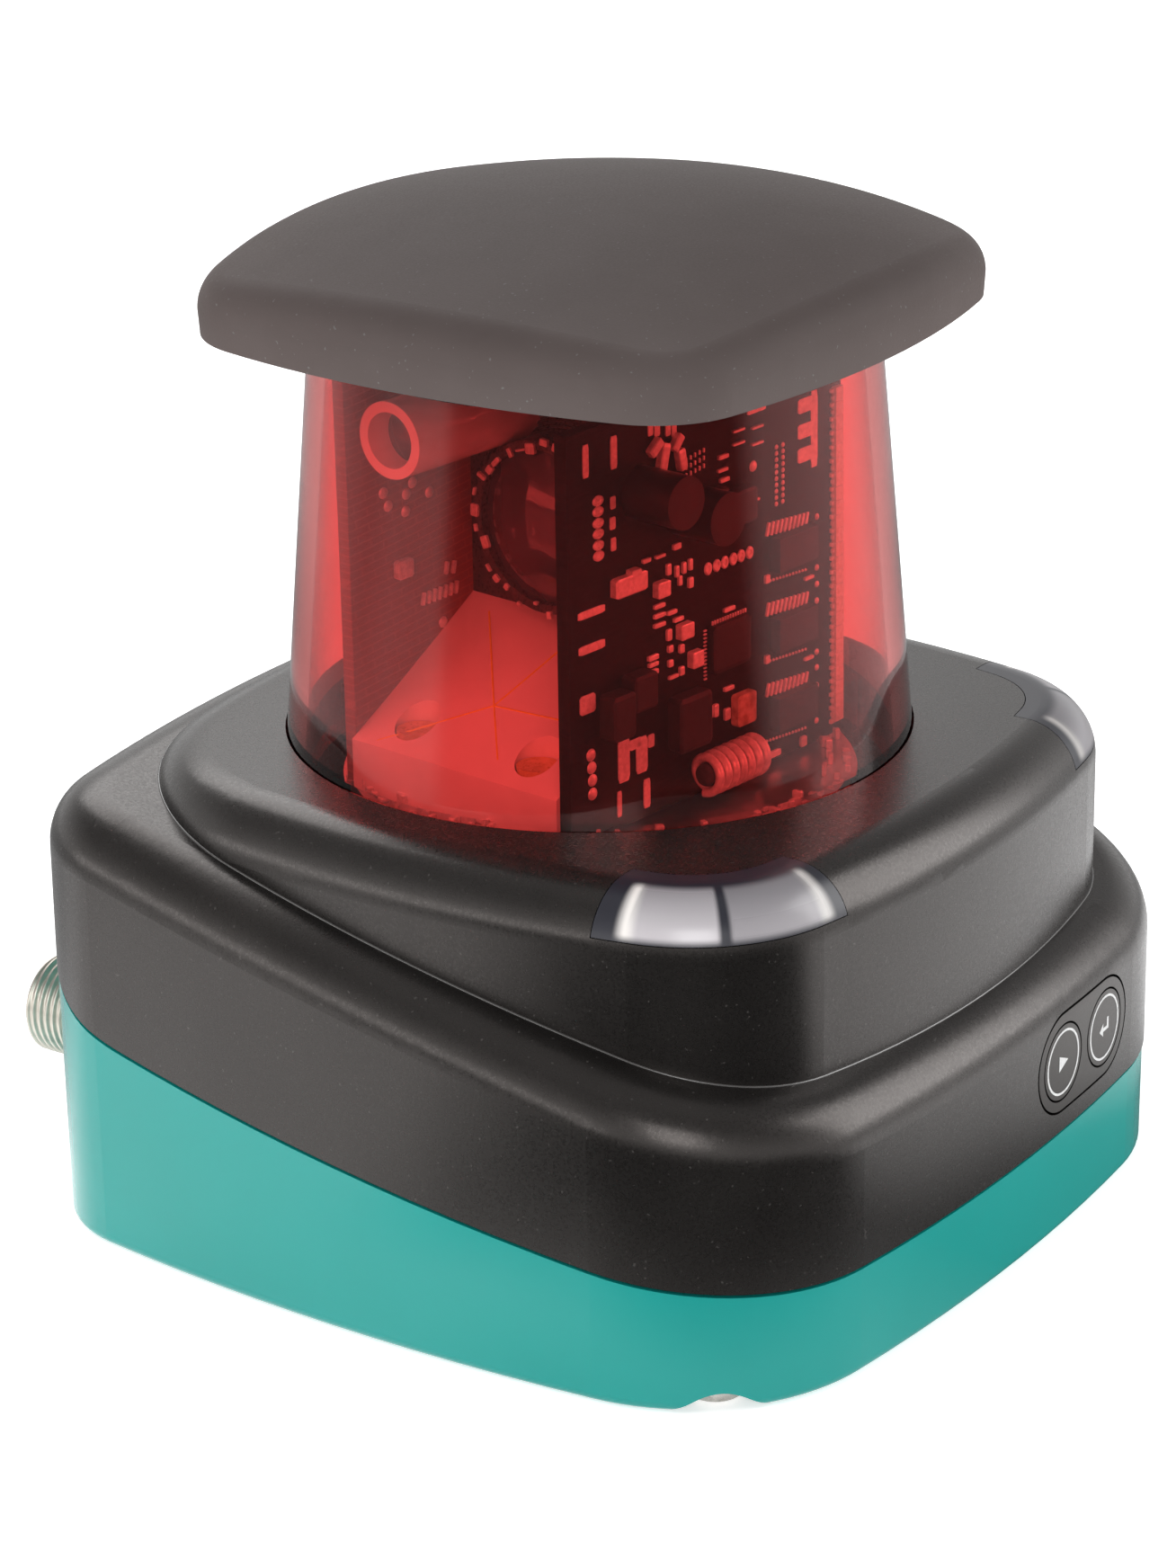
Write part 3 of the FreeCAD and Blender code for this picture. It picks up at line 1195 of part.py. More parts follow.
def display_coil():
    step = f"(2 * choke_half / {2 * choke_turns + 1})"
    crest = "choke_radius + choke_rib"
    ribs = []
    for number in range(2 * choke_turns, -1, -1):
        radius = crest if number % 2 else "choke_radius"
        ribs.append((f"choke_x - choke_half + {number + 1} * {step}", radius))
        ribs.append((f"choke_x - choke_half + {number} * {step}", radius))
    return turned_level("display_coil", f"-({board_face} + {crest})", "choke_z",
                        ("choke_x - choke_half", "0"), ("choke_x + choke_half", "0"), *ribs, where=on_rotor)


def lens_holder():
    front, back = "-lens_wall_front - holder_length", "-lens_wall_front"
    outside = "lens_radius + holder_wall"
    return turned_level("lens_holder", "0", "lens_z", (front, "lens_radius"), (back, "lens_radius"),
                        (back, outside), (front, outside), where=on_rotor)


def plano_lens(label, y, z, back, edge, radius, dome):
    sag = f"({dome} - sqrt({dome} ^ 2 - ({radius}) ^ 2))"
    return turned_level(label, y, z, (f"{back} - {edge} - {sag}", "0"), (back, "0"), (back, radius),
                        (f"{back} - {edge}", radius, dome), where=on_rotor)


def emitter_tube():
    return turned_level("emitter_tube", "tube_y", "tube_z",
                        ("-tube_front", "tube_bore"), ("tube_back", "tube_bore"),
                        ("tube_back", "tube_radius"), ("-tube_front", "tube_radius"), where=on_rotor)


def laser_diode():
    radius = "tube_bore - diode_gap"
    start, end = "tube_back - diode_length / 2", "tube_back + diode_length / 2"
    return turned_level("laser_diode", "tube_y", "tube_z", (start, "0"), (end, "0"), (end, radius),
                        (start, radius), where=on_rotor)


housing_outer = housing_form("housing_outer", "0")
housing_skin = cut("housing_skin", housing_outer, housing_form("housing_hollow", "shell"))
guide_form = housing_form("guide_form", guide_inset)
case_screw = ("screw_radius", "screw_head", "screw_head_height")
small_screw = ("board_screw_length", "board_screw", "board_screw_head", "board_screw")
deck_screw_length = f"(board_screw_length + deck_seat - {carrier_base})"

nodes = [
    base_tray(),
    upper_housing(housing_outer, housing_skin),
    parting_gasket(),
    lamp_window("left", housing_skin),
    lamp_window("right", housing_skin),
    group("light_guides", guide_pair("left", guide_form), guide_pair("right", guide_form)),
    group("lamp_boards", lamp_board("left"), lamp_board("right")),
    group("lamp_sources", lamp_source_pair("left"), lamp_source_pair("right")),
    keypad_panel(housing_skin),
    key("play", housing_skin),
    key("enter", housing_skin),
    key_switches(),
    key_board(),
    group(
        "case_screws",
        screws("front_screws", front_spots, "recess_depth", "front_screw_length", *case_screw, head_up=False),
        screws("back_screws", back_spots, "recess_depth", "back_screw_length", *case_screw, head_up=False),
    ),
    connector("power_connector", "-plug_x"),
    connector("data_connector", "plug_x"),
    connector_pieces("connector_seals", connector_seal),
    connector_pieces("connector_nuts", connector_nut),
    connector_pieces("contact_carriers", contact_carrier),
    connector_pieces("contact_pins", contact_pins),
    drum_window(),
    ring("drum_seal", "drum_base + drum_gap", "drum_flange", "tier_top - shell - drum_seal", "drum_seal"),
    top_cap(),
    ring("cap_seal", "cap_seal + fit_gap", "cap_seal + cap_seal_width - fit_gap", "drum_top - cap_seal_depth",
         "cap_seal_depth"),
    control_board(),
    group(
        "board_screws",
        screws("standoff_screws", standoff_spots, board_top, *small_screw),
        screws("tower_screws", tower_spots, "tray_floor + tower_flange_thick", *small_screw, where=on_axis),
    ),
    processor_chip(),
    power_module(),
    filter_capacitors(),
    board_headers(),
    encoder_sensor(),
    bearing_tower(),
    *bearing("lower", "lower_bearing"),
    *bearing("upper", "upper_bearing"),
    stator_core(),
    stator_coils(),
    ring("coupling_primary", "tower_radius + fit_gap", "coupling_outer", "coupling_split - coupling_thick",
         "coupling_thick"),
    rotor_shaft(),
    rotor_platform(),
    ring("magnet_ring", "stator_radius + air_gap", "bell_inner - fit_gap", "stator_bottom - disc_thick",
         "stator_height + 2 * disc_thick", where=on_rotor),
    ring("encoder_disc", "bell_inner", "disc_radius", "bell_bottom - disc_thick", "disc_thick", where=on_rotor),
    ring("coupling_secondary", "tower_radius + coupling_gap", "coupling_outer", "coupling_split + coupling_gap",
         "platform_bottom - coupling_split - coupling_gap", where=on_rotor),
    optics_carrier(),
    group(
        "carrier_screws",
        screws("deck_screws", deck_spots, "deck_seat", deck_screw_length, *small_screw[1:], where=on_rotor),
        screws("tail_screws", tail_spots, carrier_base, *small_screw, where=on_rotor),
    ),
    head_board("display_board", "board_back"),
    head_board("receiver_board", f"-{board_face}"),
    board_row("display_lamps", "led_x", "led_half", "led_low", "led_half", "led_height", "led_pitch",
              led_count),
    board_row("driver_chips", "driver_x", "driver_half_x", "driver_low", "driver_half_z", "driver_height",
              "driver_pitch", driver_count),
    display_capacitors(),
    display_coil(),
    lens_holder(),
    plano_lens("receiver_lens", "0", "lens_z", "-lens_wall_front - holder_length / 2", "lens_edge",
               "lens_radius - fit_gap", "lens_dome"),
    emitter_tube(),
    plano_lens("emitter_lens", "tube_y", "tube_z", "-tube_front + emitter_lens_set + emitter_lens_thick",
               "emitter_lens_thick / 2", "tube_bore - fit_gap", "(2 * tube_radius)"),
    laser_diode(),
]
doc.recompute()

# Nothing is written unless every object and every node is sound
for item in doc.Objects:
    if "Invalid" in item.State or "Error" in item.State:
        raise RuntimeError(f"{item.Label} failed: {item.State}")
for node in nodes:
    if node.Shape.isNull() or not node.Shape.isValid() or not node.Shape.Solids:
        raise RuntimeError(f"{node.Label} has no sound solid")
os.makedirs("parts", exist_ok=True)
for node in nodes:
    node.Shape.exportStep(f"parts/{node.Label}.step")
    box = node.Shape.BoundBox
    print(f"{node.Label}: {len(node.Shape.Solids)} solids, {node.Shape.Volume:.0f} mm3,"
          f" z {box.ZMin:.1f} to {box.ZMax:.1f}")
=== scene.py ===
import math
import random
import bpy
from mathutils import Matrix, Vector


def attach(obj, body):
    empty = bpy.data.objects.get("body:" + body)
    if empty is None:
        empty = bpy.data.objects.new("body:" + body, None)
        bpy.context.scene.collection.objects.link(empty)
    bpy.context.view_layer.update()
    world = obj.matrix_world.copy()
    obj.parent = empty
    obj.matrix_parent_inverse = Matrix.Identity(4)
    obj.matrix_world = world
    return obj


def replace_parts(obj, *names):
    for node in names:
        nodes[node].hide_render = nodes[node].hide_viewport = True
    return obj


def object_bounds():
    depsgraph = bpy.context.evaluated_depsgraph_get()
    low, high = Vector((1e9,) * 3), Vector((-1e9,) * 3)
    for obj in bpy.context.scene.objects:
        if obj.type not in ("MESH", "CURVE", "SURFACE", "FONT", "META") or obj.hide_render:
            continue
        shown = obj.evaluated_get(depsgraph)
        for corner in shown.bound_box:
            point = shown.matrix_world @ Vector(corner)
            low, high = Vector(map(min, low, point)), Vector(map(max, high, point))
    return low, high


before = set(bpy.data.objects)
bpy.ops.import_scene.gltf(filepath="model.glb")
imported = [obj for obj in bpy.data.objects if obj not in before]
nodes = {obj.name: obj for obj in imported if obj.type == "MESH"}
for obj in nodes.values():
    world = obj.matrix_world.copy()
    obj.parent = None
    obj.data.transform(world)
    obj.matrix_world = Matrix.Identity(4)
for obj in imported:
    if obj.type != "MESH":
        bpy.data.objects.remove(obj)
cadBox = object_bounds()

from types import SimpleNamespace
import bmesh
import bpy
from mathutils import Matrix, Vector
from mathutils.bvhtree import BVHTree

scene = bpy.context.scene
mm = 0.001
headTurn = math.radians(-7)
headMiddle = 2.4
print("frame loaded:", len(nodes), "nodes")


# Sets a socket to a value, or links it when the value is another node's output
def feed(tree, socket, value):
    if isinstance(value, bpy.types.NodeSocket):
        tree.links.new(value, socket)
    elif socket.type == "RGBA" and len(value) == 3:
        socket.default_value = (*value, 1)
    else:
        socket.default_value = value


def feedAll(tree, node, values):
    for key, value in values.items():
        feed(tree, node.inputs[key], value)


def put(tree, kind, values=None, **settings):
    made = tree.nodes.new(kind)
    for key, value in settings.items():
        setattr(made, key, value)
    feedAll(tree, made, values or {})
    return made


# Finishes
def startFinish(name):
    finish = bpy.data.materials.new(name)
    finish.use_nodes = True
    tree = finish.node_tree
    tree.nodes.clear()
    shader = put(tree, "ShaderNodeBsdfPrincipled")
    put(tree, "ShaderNodeOutputMaterial", {"Surface": shader.outputs["BSDF"]})
    return finish, tree, shader


def objectPlace(tree, stretch=(1, 1, 1)):
    place = put(tree, "ShaderNodeTexCoord").outputs["Object"]
    return put(tree, "ShaderNodeMapping", {"Vector": place, "Scale": stretch}).outputs["Vector"]


def axesOf(tree, place):
    return put(tree, "ShaderNodeSeparateXYZ", {"Vector": place}).outputs


def noiseAt(tree, place, scale, detail=3.0):
    return put(tree, "ShaderNodeTexNoise", {"Vector": place, "Scale": scale, "Detail": detail}).outputs["Fac"]


def colourBetween(tree, amount, low, high, start=0.35, end=0.65):
    ramp = put(tree, "ShaderNodeValToRGB", {"Fac": amount})
    for element, position, colour in zip(ramp.color_ramp.elements, (start, end), (low, high)):
        element.position = position
        element.color = (*colour, 1)
    return ramp.outputs["Color"]


def mapped(tree, amount, low, high, start, end, **settings):
    values = {"Value": amount, "From Min": low, "From Max": high, "To Min": start, "To Max": end}
    return put(tree, "ShaderNodeMapRange", values, **settings).outputs["Result"]


# Noise mostly lies between these two values
def spread(tree, amount, start, end, noiseLow=0.3, noiseHigh=0.7):
    return mapped(tree, amount, noiseLow, noiseHigh, start, end)


def fade(tree, amount, low, high, start=0.0, end=1.0):
    return mapped(tree, amount, low, high, start, end, interpolation_type="SMOOTHSTEP")


def relief(tree, shader, height, strength, depth):
    bump = put(tree, "ShaderNodeBump", {"Height": height, "Strength": strength, "Distance": depth})
    feed(tree, shader.inputs["Normal"], bump.outputs["Normal"])


def reckon(tree, operation, *values):
    return put(tree, "ShaderNodeMath", dict(enumerate(values)), operation=operation).outputs["Value"]


def times(tree, *values):
    product = values[0]
    for value in values[1:]:
        product = reckon(tree, "MULTIPLY", product, value)
    return product


def mixed(tree, amount, first, second, **settings):
    return put(tree, "ShaderNodeMix", {0: amount, 6: first, 7: second}, data_type="RGBA", **settings).outputs[2]


def either(tree, amount, first, second):
    return put(tree, "ShaderNodeMixShader", {"Fac": amount, 1: first, 2: second}).outputs["Shader"]


def show(tree, surface):
    feed(tree, tree.nodes["Material Output"].inputs["Surface"], surface)


# Mottled colour, uneven gloss and fine relief, the numbers that stay put set on the shader itself
def grainedFinish(name, look, speckLow=0.80, speckHigh=0.83):
    finish, tree, shader = startFinish(name)
    place = objectPlace(tree, look.get("stretch", (1, 1, 1)))
    colour = colourBetween(tree, noiseAt(tree, place, look["mottle"]), look["dark"], look["light"])
    fine = noiseAt(tree, place, look["grain"], 2.0)
    if "specks" in look:
        dust = mapped(tree, noiseAt(tree, place, look["specks"], 0.0), speckLow, speckHigh, 0.0, 1.0)
        colour = mixed(tree, dust, colour, look["speckColour"])
    feedAll(tree, shader, {"Base Color": colour, "Roughness": spread(tree, fine, *look["rough"])})
    feedAll(tree, shader, look.get("sockets", {}))
    relief(tree, shader, fine, look["relief"], look.get("depth", 0.00005))
    return finish


looks = dict(
    tealPaint=dict(dark=(0.0015, 0.296, 0.266), light=(0.0020, 0.308, 0.278), mottle=45, grain=420,
        rough=(0.22, 0.27), relief=0.012,
        sockets={"Coat Weight": 0.40, "Coat Roughness": 0.05, "Specular IOR Level": 0.3}),
    satinHousing=dict(dark=(0.0075, 0.0068, 0.0064), light=(0.0105, 0.0096, 0.0090), mottle=90, grain=2800,
        rough=(0.24, 0.34), relief=0.14, specks=2600, speckColour=(0.045, 0.042, 0.040),
        sockets={"Specular IOR Level": 0.57, "Specular Tint": (1.0, 0.91, 0.87, 1)}),
    sandedCap=dict(dark=(0.070, 0.0565, 0.0535), light=(0.074, 0.0600, 0.0570), mottle=130, grain=4200,
        rough=(0.46, 0.56), relief=0.26, specks=2400, speckColour=(0.10, 0.094, 0.09),
        sockets={"Specular IOR Level": 0.05, "Specular Tint": (1.0, 0.86, 0.80, 1)}),
    keyPlastic=dict(dark=(0.0085, 0.0078, 0.0074), light=(0.0115, 0.0106, 0.0100), mottle=300, grain=6000,
        rough=(0.30, 0.38), relief=0.10, sockets={"Specular Tint": (1.0, 0.88, 0.82, 1)}),
    sealRubber=dict(dark=(0.008, 0.008, 0.008), light=(0.014, 0.013, 0.013), mottle=500, grain=5000,
        rough=(0.62, 0.75), relief=0.30),
    nickelPlate=dict(dark=(0.54, 0.50, 0.44), light=(0.66, 0.62, 0.55), mottle=700, grain=3000, stretch=(1, 0.15, 1),
        rough=(0.34, 0.44), relief=0.05, sockets={"Metallic": 1.0}),
    zincScrew=dict(dark=(0.50, 0.48, 0.44), light=(0.66, 0.64, 0.60), mottle=900, grain=4200, rough=(0.22, 0.36),
        relief=0.12, sockets={"Metallic": 1.0}),
    goldContact=dict(dark=(0.66, 0.44, 0.14), light=(0.78, 0.54, 0.20), mottle=900, grain=5000, rough=(0.16, 0.26),
        relief=0.05, sockets={"Metallic": 1.0}),
    insertNylon=dict(dark=(0.010, 0.010, 0.011), light=(0.020, 0.020, 0.021), mottle=600, grain=4000,
        rough=(0.42, 0.55), relief=0.15),
    chipBody=dict(dark=(0.010, 0.010, 0.010), light=(0.020, 0.019, 0.019), mottle=1500, grain=9000,
        rough=(0.48, 0.60), relief=0.25),
    canSleeve=dict(dark=(0.006, 0.006, 0.007), light=(0.012, 0.011, 0.012), mottle=400, grain=3000,
        rough=(0.28, 0.40), relief=0.06),
    lampChip=dict(dark=(0.72, 0.66, 0.50), light=(0.86, 0.82, 0.70), mottle=1800, grain=6000, rough=(0.22, 0.35),
        relief=0.05),
    turnedAluminium=dict(dark=(0.56, 0.56, 0.57), light=(0.70, 0.70, 0.70), mottle=250, grain=2600,
        stretch=(1, 1, 0.1), rough=(0.28, 0.42), relief=0.10, sockets={"Metallic": 1.0}),
    ferriteMagnet=dict(dark=(0.030, 0.029, 0.030), light=(0.055, 0.052, 0.052), mottle=900, grain=5000,
        rough=(0.50, 0.64), relief=0.22),
    raceSteel=dict(dark=(0.50, 0.50, 0.51), light=(0.62, 0.62, 0.62), mottle=500, grain=3500, rough=(0.10, 0.20),
        relief=0.03, sockets={"Metallic": 1.0}),
    carrierCasting=dict(dark=(0.84, 0.82, 0.79), light=(0.92, 0.90, 0.87), mottle=140, grain=3200, rough=(0.34, 0.46),
        relief=0.14),
    brightTube=dict(dark=(0.82, 0.80, 0.78), light=(0.90, 0.88, 0.86), mottle=300, grain=1800, rough=(0.18, 0.26),
        relief=0.006, sockets={"Metallic": 0.15, "Specular IOR Level": 0.8}),
    brassHead=dict(dark=(0.66, 0.44, 0.16), light=(0.82, 0.58, 0.26), mottle=900, grain=3000, rough=(0.26, 0.36),
        relief=0.05, sockets={"Metallic": 0.25}),
    darkDish=dict(dark=(0.040, 0.038, 0.038), light=(0.075, 0.070, 0.068), mottle=260, grain=2600, rough=(0.24, 0.36),
        relief=0.10),
    tinnedPad=dict(dark=(0.70, 0.68, 0.64), light=(0.90, 0.88, 0.84), mottle=1600, grain=5200, rough=(0.28, 0.44),
        relief=0.30, depth=0.00008, sockets={"Metallic": 0.35}),
    ceramicPart=dict(dark=(0.30, 0.20, 0.12), light=(0.62, 0.48, 0.34), mottle=700, grain=6000, rough=(0.36, 0.5),
        relief=0.10),
    shinyEdge=dict(dark=(0.050, 0.046, 0.044), light=(0.070, 0.066, 0.064), mottle=300, grain=3000,
        rough=(0.16, 0.24), relief=0.05, sockets={"Specular IOR Level": 1.0}),
    keyPrint=dict(dark=(0.62, 0.62, 0.62), light=(0.74, 0.74, 0.73), mottle=2500, grain=9000, rough=(0.50, 0.62),
        relief=0.20),
    orangeLine=dict(dark=(0.92, 0.74, 0.08), light=(0.98, 0.84, 0.14), mottle=900, grain=5000, rough=(0.30, 0.42),
        relief=0.06),
    frostedGuide=dict(dark=(0.60, 0.60, 0.62), light=(0.74, 0.74, 0.76), mottle=160, grain=2600, rough=(0.30, 0.44),
        relief=0.08, sockets={"Subsurface Weight": 0.3, "Subsurface Scale": 0.002}),
    coatedLens=dict(dark=(0.055, 0.050, 0.060), light=(0.085, 0.075, 0.090), mottle=90, grain=1500,
        rough=(0.05, 0.10), relief=0.02, sockets={"Coat Weight": 0.8, "Coat Roughness": 0.03}),
)
finishes = {name: grainedFinish(name, look) for name, look in looks.items()}

# Painted light on the cap: the heights between which the painted rim light turns into painted crown shade, and how
# much paler and darker they are
capLightTone = dict(low=0.103, high=0.117, edge=1.58, top=0.78)


# Painted light on the cap: the base colour is made paler low on the rim and darker on the crown, standing in for how
# the light falls on them
def paintedCapLight(finish):
    look = SimpleNamespace(**capLightTone)
    tree = finish.node_tree
    base = tree.nodes["Principled BSDF"].inputs["Base Color"]
    paintedLightTone = fade(tree, axesOf(tree, objectPlace(tree))["Z"], look.low, look.high, look.edge, look.top)
    feed(tree, base, mixed(tree, 1.0, base.links[0].from_socket, paintedLightTone, blend_type="MULTIPLY"))


paintedCapLight(finishes["sandedCap"])

drumLook = dict(red=(0.825, 0.20, 0.19), edgeRed=(0.44, 0.080, 0.074), edge=(0.50, 0.95),
                shadowRed=(0.98, 0.56, 0.56), rough=(0.008, 0.03), ior=1.49, ripple=26, veil=(1.0, 0.76, 0.73),
                relief=0.05, depth=0.0005)


# Clear red plastic that lets light through to what it covers, deeper where it is seen edge on
def redWindow():
    look = SimpleNamespace(**drumLook)
    finish, tree, shader = startFinish("redWindow")
    facing = put(tree, "ShaderNodeLayerWeight", {"Blend": 0.5}).outputs["Facing"]
    ripple = noiseAt(tree, objectPlace(tree), look.ripple, 1.0)
    feedAll(tree, shader, {"Base Color": mixed(tree, fade(tree, facing, *look.edge), look.red, look.edgeRed),
                           "Transmission Weight": 1.0, "IOR": look.ior, "Specular Tint": look.veil,
                           "Roughness": spread(tree, ripple, *look.rough)})
    relief(tree, shader, ripple, look.relief, look.depth)
    letThrough = put(tree, "ShaderNodeBsdfTransparent", {"Color": look.shadowRed})
    shadowRay = put(tree, "ShaderNodeLightPath").outputs["Is Shadow Ray"]
    show(tree, either(tree, shadowRay, shader.outputs["BSDF"], letThrough.outputs["BSDF"]))
    return finish


finishes["redWindow"] = redWindow()

# The pale end colour and its reach paint highlights at the pads' ends; the shade heights and the upper, right and
# front parts paint shade on the pads
lampLook = dict(middle=(0.0253, -0.0267), border=(0.018, 0.018, 0.026), pad=(0.50, 0.47, 0.49),
                end=(0.86, 0.82, 0.78), low=(0.0510, 0.0520), inner=(0.0136, 0.0150), ends=(188, 264.6),
                split=(223.5, 2.0), soft=2.4, endReach=7, rough=(0.32, 0.24), gloss=0.5, coatRough=0.26, mottle=300,
                sides=(-0.01, 0.01), rightPart=0.78, frontPart=0.62, shade=(0.0522, 0.0568), upperPart=0.48,
                clouded=(0.8, 1.0), relief=0.03, depth=0.0001)


# Smoky window with two frosted light pads under its skin, laid out round the tier's corner, the pads carrying painted
# highlights at their ends and painted shade on their upper part, on the second pad and on the right window
def smokyLamp():
    look = SimpleNamespace(**lampLook)
    finish, tree, shader = startFinish("smokyLamp")
    place = objectPlace(tree)
    axes = axesOf(tree, place)
    x = reckon(tree, "SUBTRACT", look.middle[0], reckon(tree, "ABSOLUTE", axes["X"]))
    y = reckon(tree, "SUBTRACT", axes["Y"], look.middle[1])
    reach = reckon(tree, "SQRT", reckon(tree, "ADD", times(tree, x, x), times(tree, y, y)))
    turn = reckon(tree, "ADD", reckon(tree, "ARCTAN2", y, x), 2 * math.pi)
    first, last, middle, half = (math.radians(angle) for angle in look.ends + look.split)
    soft, near = math.radians(look.soft), math.radians(look.endReach)
    aside = reckon(tree, "ABSOLUTE", reckon(tree, "SUBTRACT", turn, middle))
    # Painted highlight: the pads are made paler near both ends
    endHighlight = reckon(tree, "MAXIMUM", fade(tree, turn, first + near, first + near / 3),
                    fade(tree, turn, last - near, last - near / 3))
    # Painted shade: the pads are made darker toward their upper edge
    shade = fade(tree, axes["Z"], *look.shade, 1.0, look.upperPart)
    # The pads' mask, with painted shade on the right window, the second pad and the upper part, and painted highlight
    # at the ends
    inside = times(tree, fade(tree, turn, first - soft, first + soft), fade(tree, turn, last + soft, last - soft),
                   fade(tree, aside, half - soft / 2, half + soft / 2), fade(tree, axes["Z"], *look.low),
                   fade(tree, reach, *look.inner), fade(tree, axes["X"], *look.sides, 1.0, look.rightPart),
                   fade(tree, turn, middle - half, middle + half, 1.0, look.frontPart),
                   reckon(tree, "MAXIMUM", shade, endHighlight))
    cloud = noiseAt(tree, place, look.mottle)
    # The painted end highlight, mottled, moves the pad colour toward the pale end colour
    pad = mixed(tree, times(tree, endHighlight, spread(tree, cloud, *look.clouded)), look.pad, look.end)
    feedAll(tree, shader, {"Base Color": mixed(tree, inside, look.border, pad),
                           "Roughness": fade(tree, inside, 0, 1, *look.rough),
                           "Coat Weight": times(tree, inside, look.gloss), "Coat Roughness": look.coatRough})
    relief(tree, shader, cloud, look.relief, look.depth)
    return finish


finishes["smokyLamp"] = smokyLamp()

boardLook = dict(mask=(0.012, 0.030, 0.022), trace=(0.020, 0.050, 0.036), darkMask=(0.008, 0.006, 0.006),
                 darkTrace=(0.014, 0.010, 0.010), warmMask=(0.27, 0.08, 0.06), warmTrace=(0.34, 0.11, 0.08),
                 tracks=950, gap=0.08, bias=-0.4, long=3.4, pitch=0.9, odd=(0.35, 0.35, 0.35), grain=3000,
                 rough=(0.30, 0.42), shine=0.10, relief=0.10, depth=0.00003)


# Solder mask with copper runs showing through as faint raised tracks
def boardMask(name, mask, trace):
    look = SimpleNamespace(**boardLook)
    finish, tree, shader = startFinish(name)
    place = objectPlace(tree)
    turned = put(tree, "ShaderNodeMapping", {"Vector": place, "Rotation": (math.radians(90), 0, -headTurn)})
    runs = put(tree, "ShaderNodeTexBrick", {"Vector": turned.outputs["Vector"], "Scale": look.tracks,
                                            "Mortar Size": look.gap, "Bias": look.bias, "Brick Width": look.long,
                                            "Row Height": look.pitch, "Color1": (0, 0, 0), "Color2": look.odd,
                                            "Mortar": (1, 1, 1)}).outputs["Color"]
    fine = noiseAt(tree, place, look.grain, 2.0)
    feedAll(tree, shader, {"Base Color": colourBetween(tree, runs, mask, trace, 0.1, 0.9),
                           "Roughness": spread(tree, fine, *look.rough), "Specular IOR Level": look.shine})
    relief(tree, shader, runs, look.relief, look.depth)
    return finish


for name, mask, trace in (("greenBoard", "mask", "trace"), ("darkBoard", "darkMask", "darkTrace"),
                          ("warmBoard", "warmMask", "warmTrace")):
    finishes[name] = boardMask(name, boardLook[mask], boardLook[trace])

layerLooks = dict(
    stackedSteel=dict(low=(0.16, 0.16, 0.17), high=(0.34, 0.34, 0.35), lines=2000, axis="Z", metal=0.9,
                      rough=(0.34, 0.48)),
    woundCopper=dict(low=(0.34, 0.10, 0.035), high=(0.72, 0.30, 0.13), lines=2600, axis="Z", metal=0.9,
                     rough=(0.22, 0.34)),
    codedDisc=dict(low=(0.05, 0.05, 0.052), high=(0.30, 0.30, 0.30), lines=1500, axis="X", metal=0.2,
                   rough=(0.22, 0.34)))
layerRelief = dict(wave=6.283, wander=0.4, grain=2500, strength=0.35, depth=0.0001)


# Fine even lines across one axis: stacked sheets, wound wire or printed slits
def linedFinish(name, low, high, lines, axis, metal, rough):
    finish, tree, shader = startFinish(name)
    place = objectPlace(tree)
    stripes = put(tree, "ShaderNodeTexWave", {"Vector": place, "Scale": lines / layerRelief["wave"], "Detail": 1.0,
                                              "Distortion": layerRelief["wander"]},
                  bands_direction=axis).outputs["Fac"]
    fine = noiseAt(tree, place, layerRelief["grain"], 2.0)
    feedAll(tree, shader, {"Base Color": colourBetween(tree, stripes, low, high, 0.2, 0.8),
                           "Roughness": spread(tree, fine, *rough), "Metallic": metal})
    relief(tree, shader, stripes, layerRelief["strength"], layerRelief["depth"])
    return finish


for name, look in layerLooks.items():
    finishes[name] = linedFinish(name, **look)

nodeFinishes = {
    "tealPaint": ["base_tray"],
    "satinHousing": ["upper_housing"],
    "sandedCap": ["top_cap"],
    "smokyLamp": ["left_lamp_window", "right_lamp_window"],
    "frostedGuide": ["light_guides"],
    "keyPlastic": ["keypad_panel", "play_key", "enter_key"],
    "sealRubber": ["parting_gasket", "connector_seals", "drum_seal", "cap_seal"],
    "redWindow": ["drum_window"],
    "nickelPlate": ["power_connector", "data_connector", "connector_nuts"],
    "zincScrew": ["case_screws", "board_screws"],
    "goldContact": ["contact_pins"],
    "brassHead": ["carrier_screws"],
    "insertNylon": ["contact_carriers", "board_headers", "key_switches"],
    "greenBoard": ["control_board", "lamp_boards", "key_board"],
    "darkBoard": ["display_board"],
    "warmBoard": ["receiver_board"],
    "chipBody": ["processor_chip", "driver_chips", "encoder_sensor", "power_module"],
    "canSleeve": ["filter_capacitors", "display_capacitors"],
    "lampChip": ["lamp_sources", "display_lamps"],
    "turnedAluminium": ["bearing_tower", "rotor_platform", "laser_diode"],
    "stackedSteel": ["stator_core"],
    "woundCopper": ["stator_coils", "coupling_primary", "coupling_secondary", "display_coil"],
    "ferriteMagnet": ["magnet_ring"],
    "raceSteel": ["rotor_shaft", "lower_bearing_outer", "lower_bearing_balls", "lower_bearing_inner",
                  "upper_bearing_outer", "upper_bearing_balls", "upper_bearing_inner"],
    "codedDisc": ["encoder_disc"],
    "carrierCasting": ["optics_carrier"],
    "brightTube": ["emitter_tube"],
    "darkDish": ["lens_holder"],
    "coatedLens": ["receiver_lens", "emitter_lens"],
}
for label, names in nodeFinishes.items():
    for name in names:
        nodes[name].data.materials.clear()
        nodes[name].data.materials.append(finishes[label])

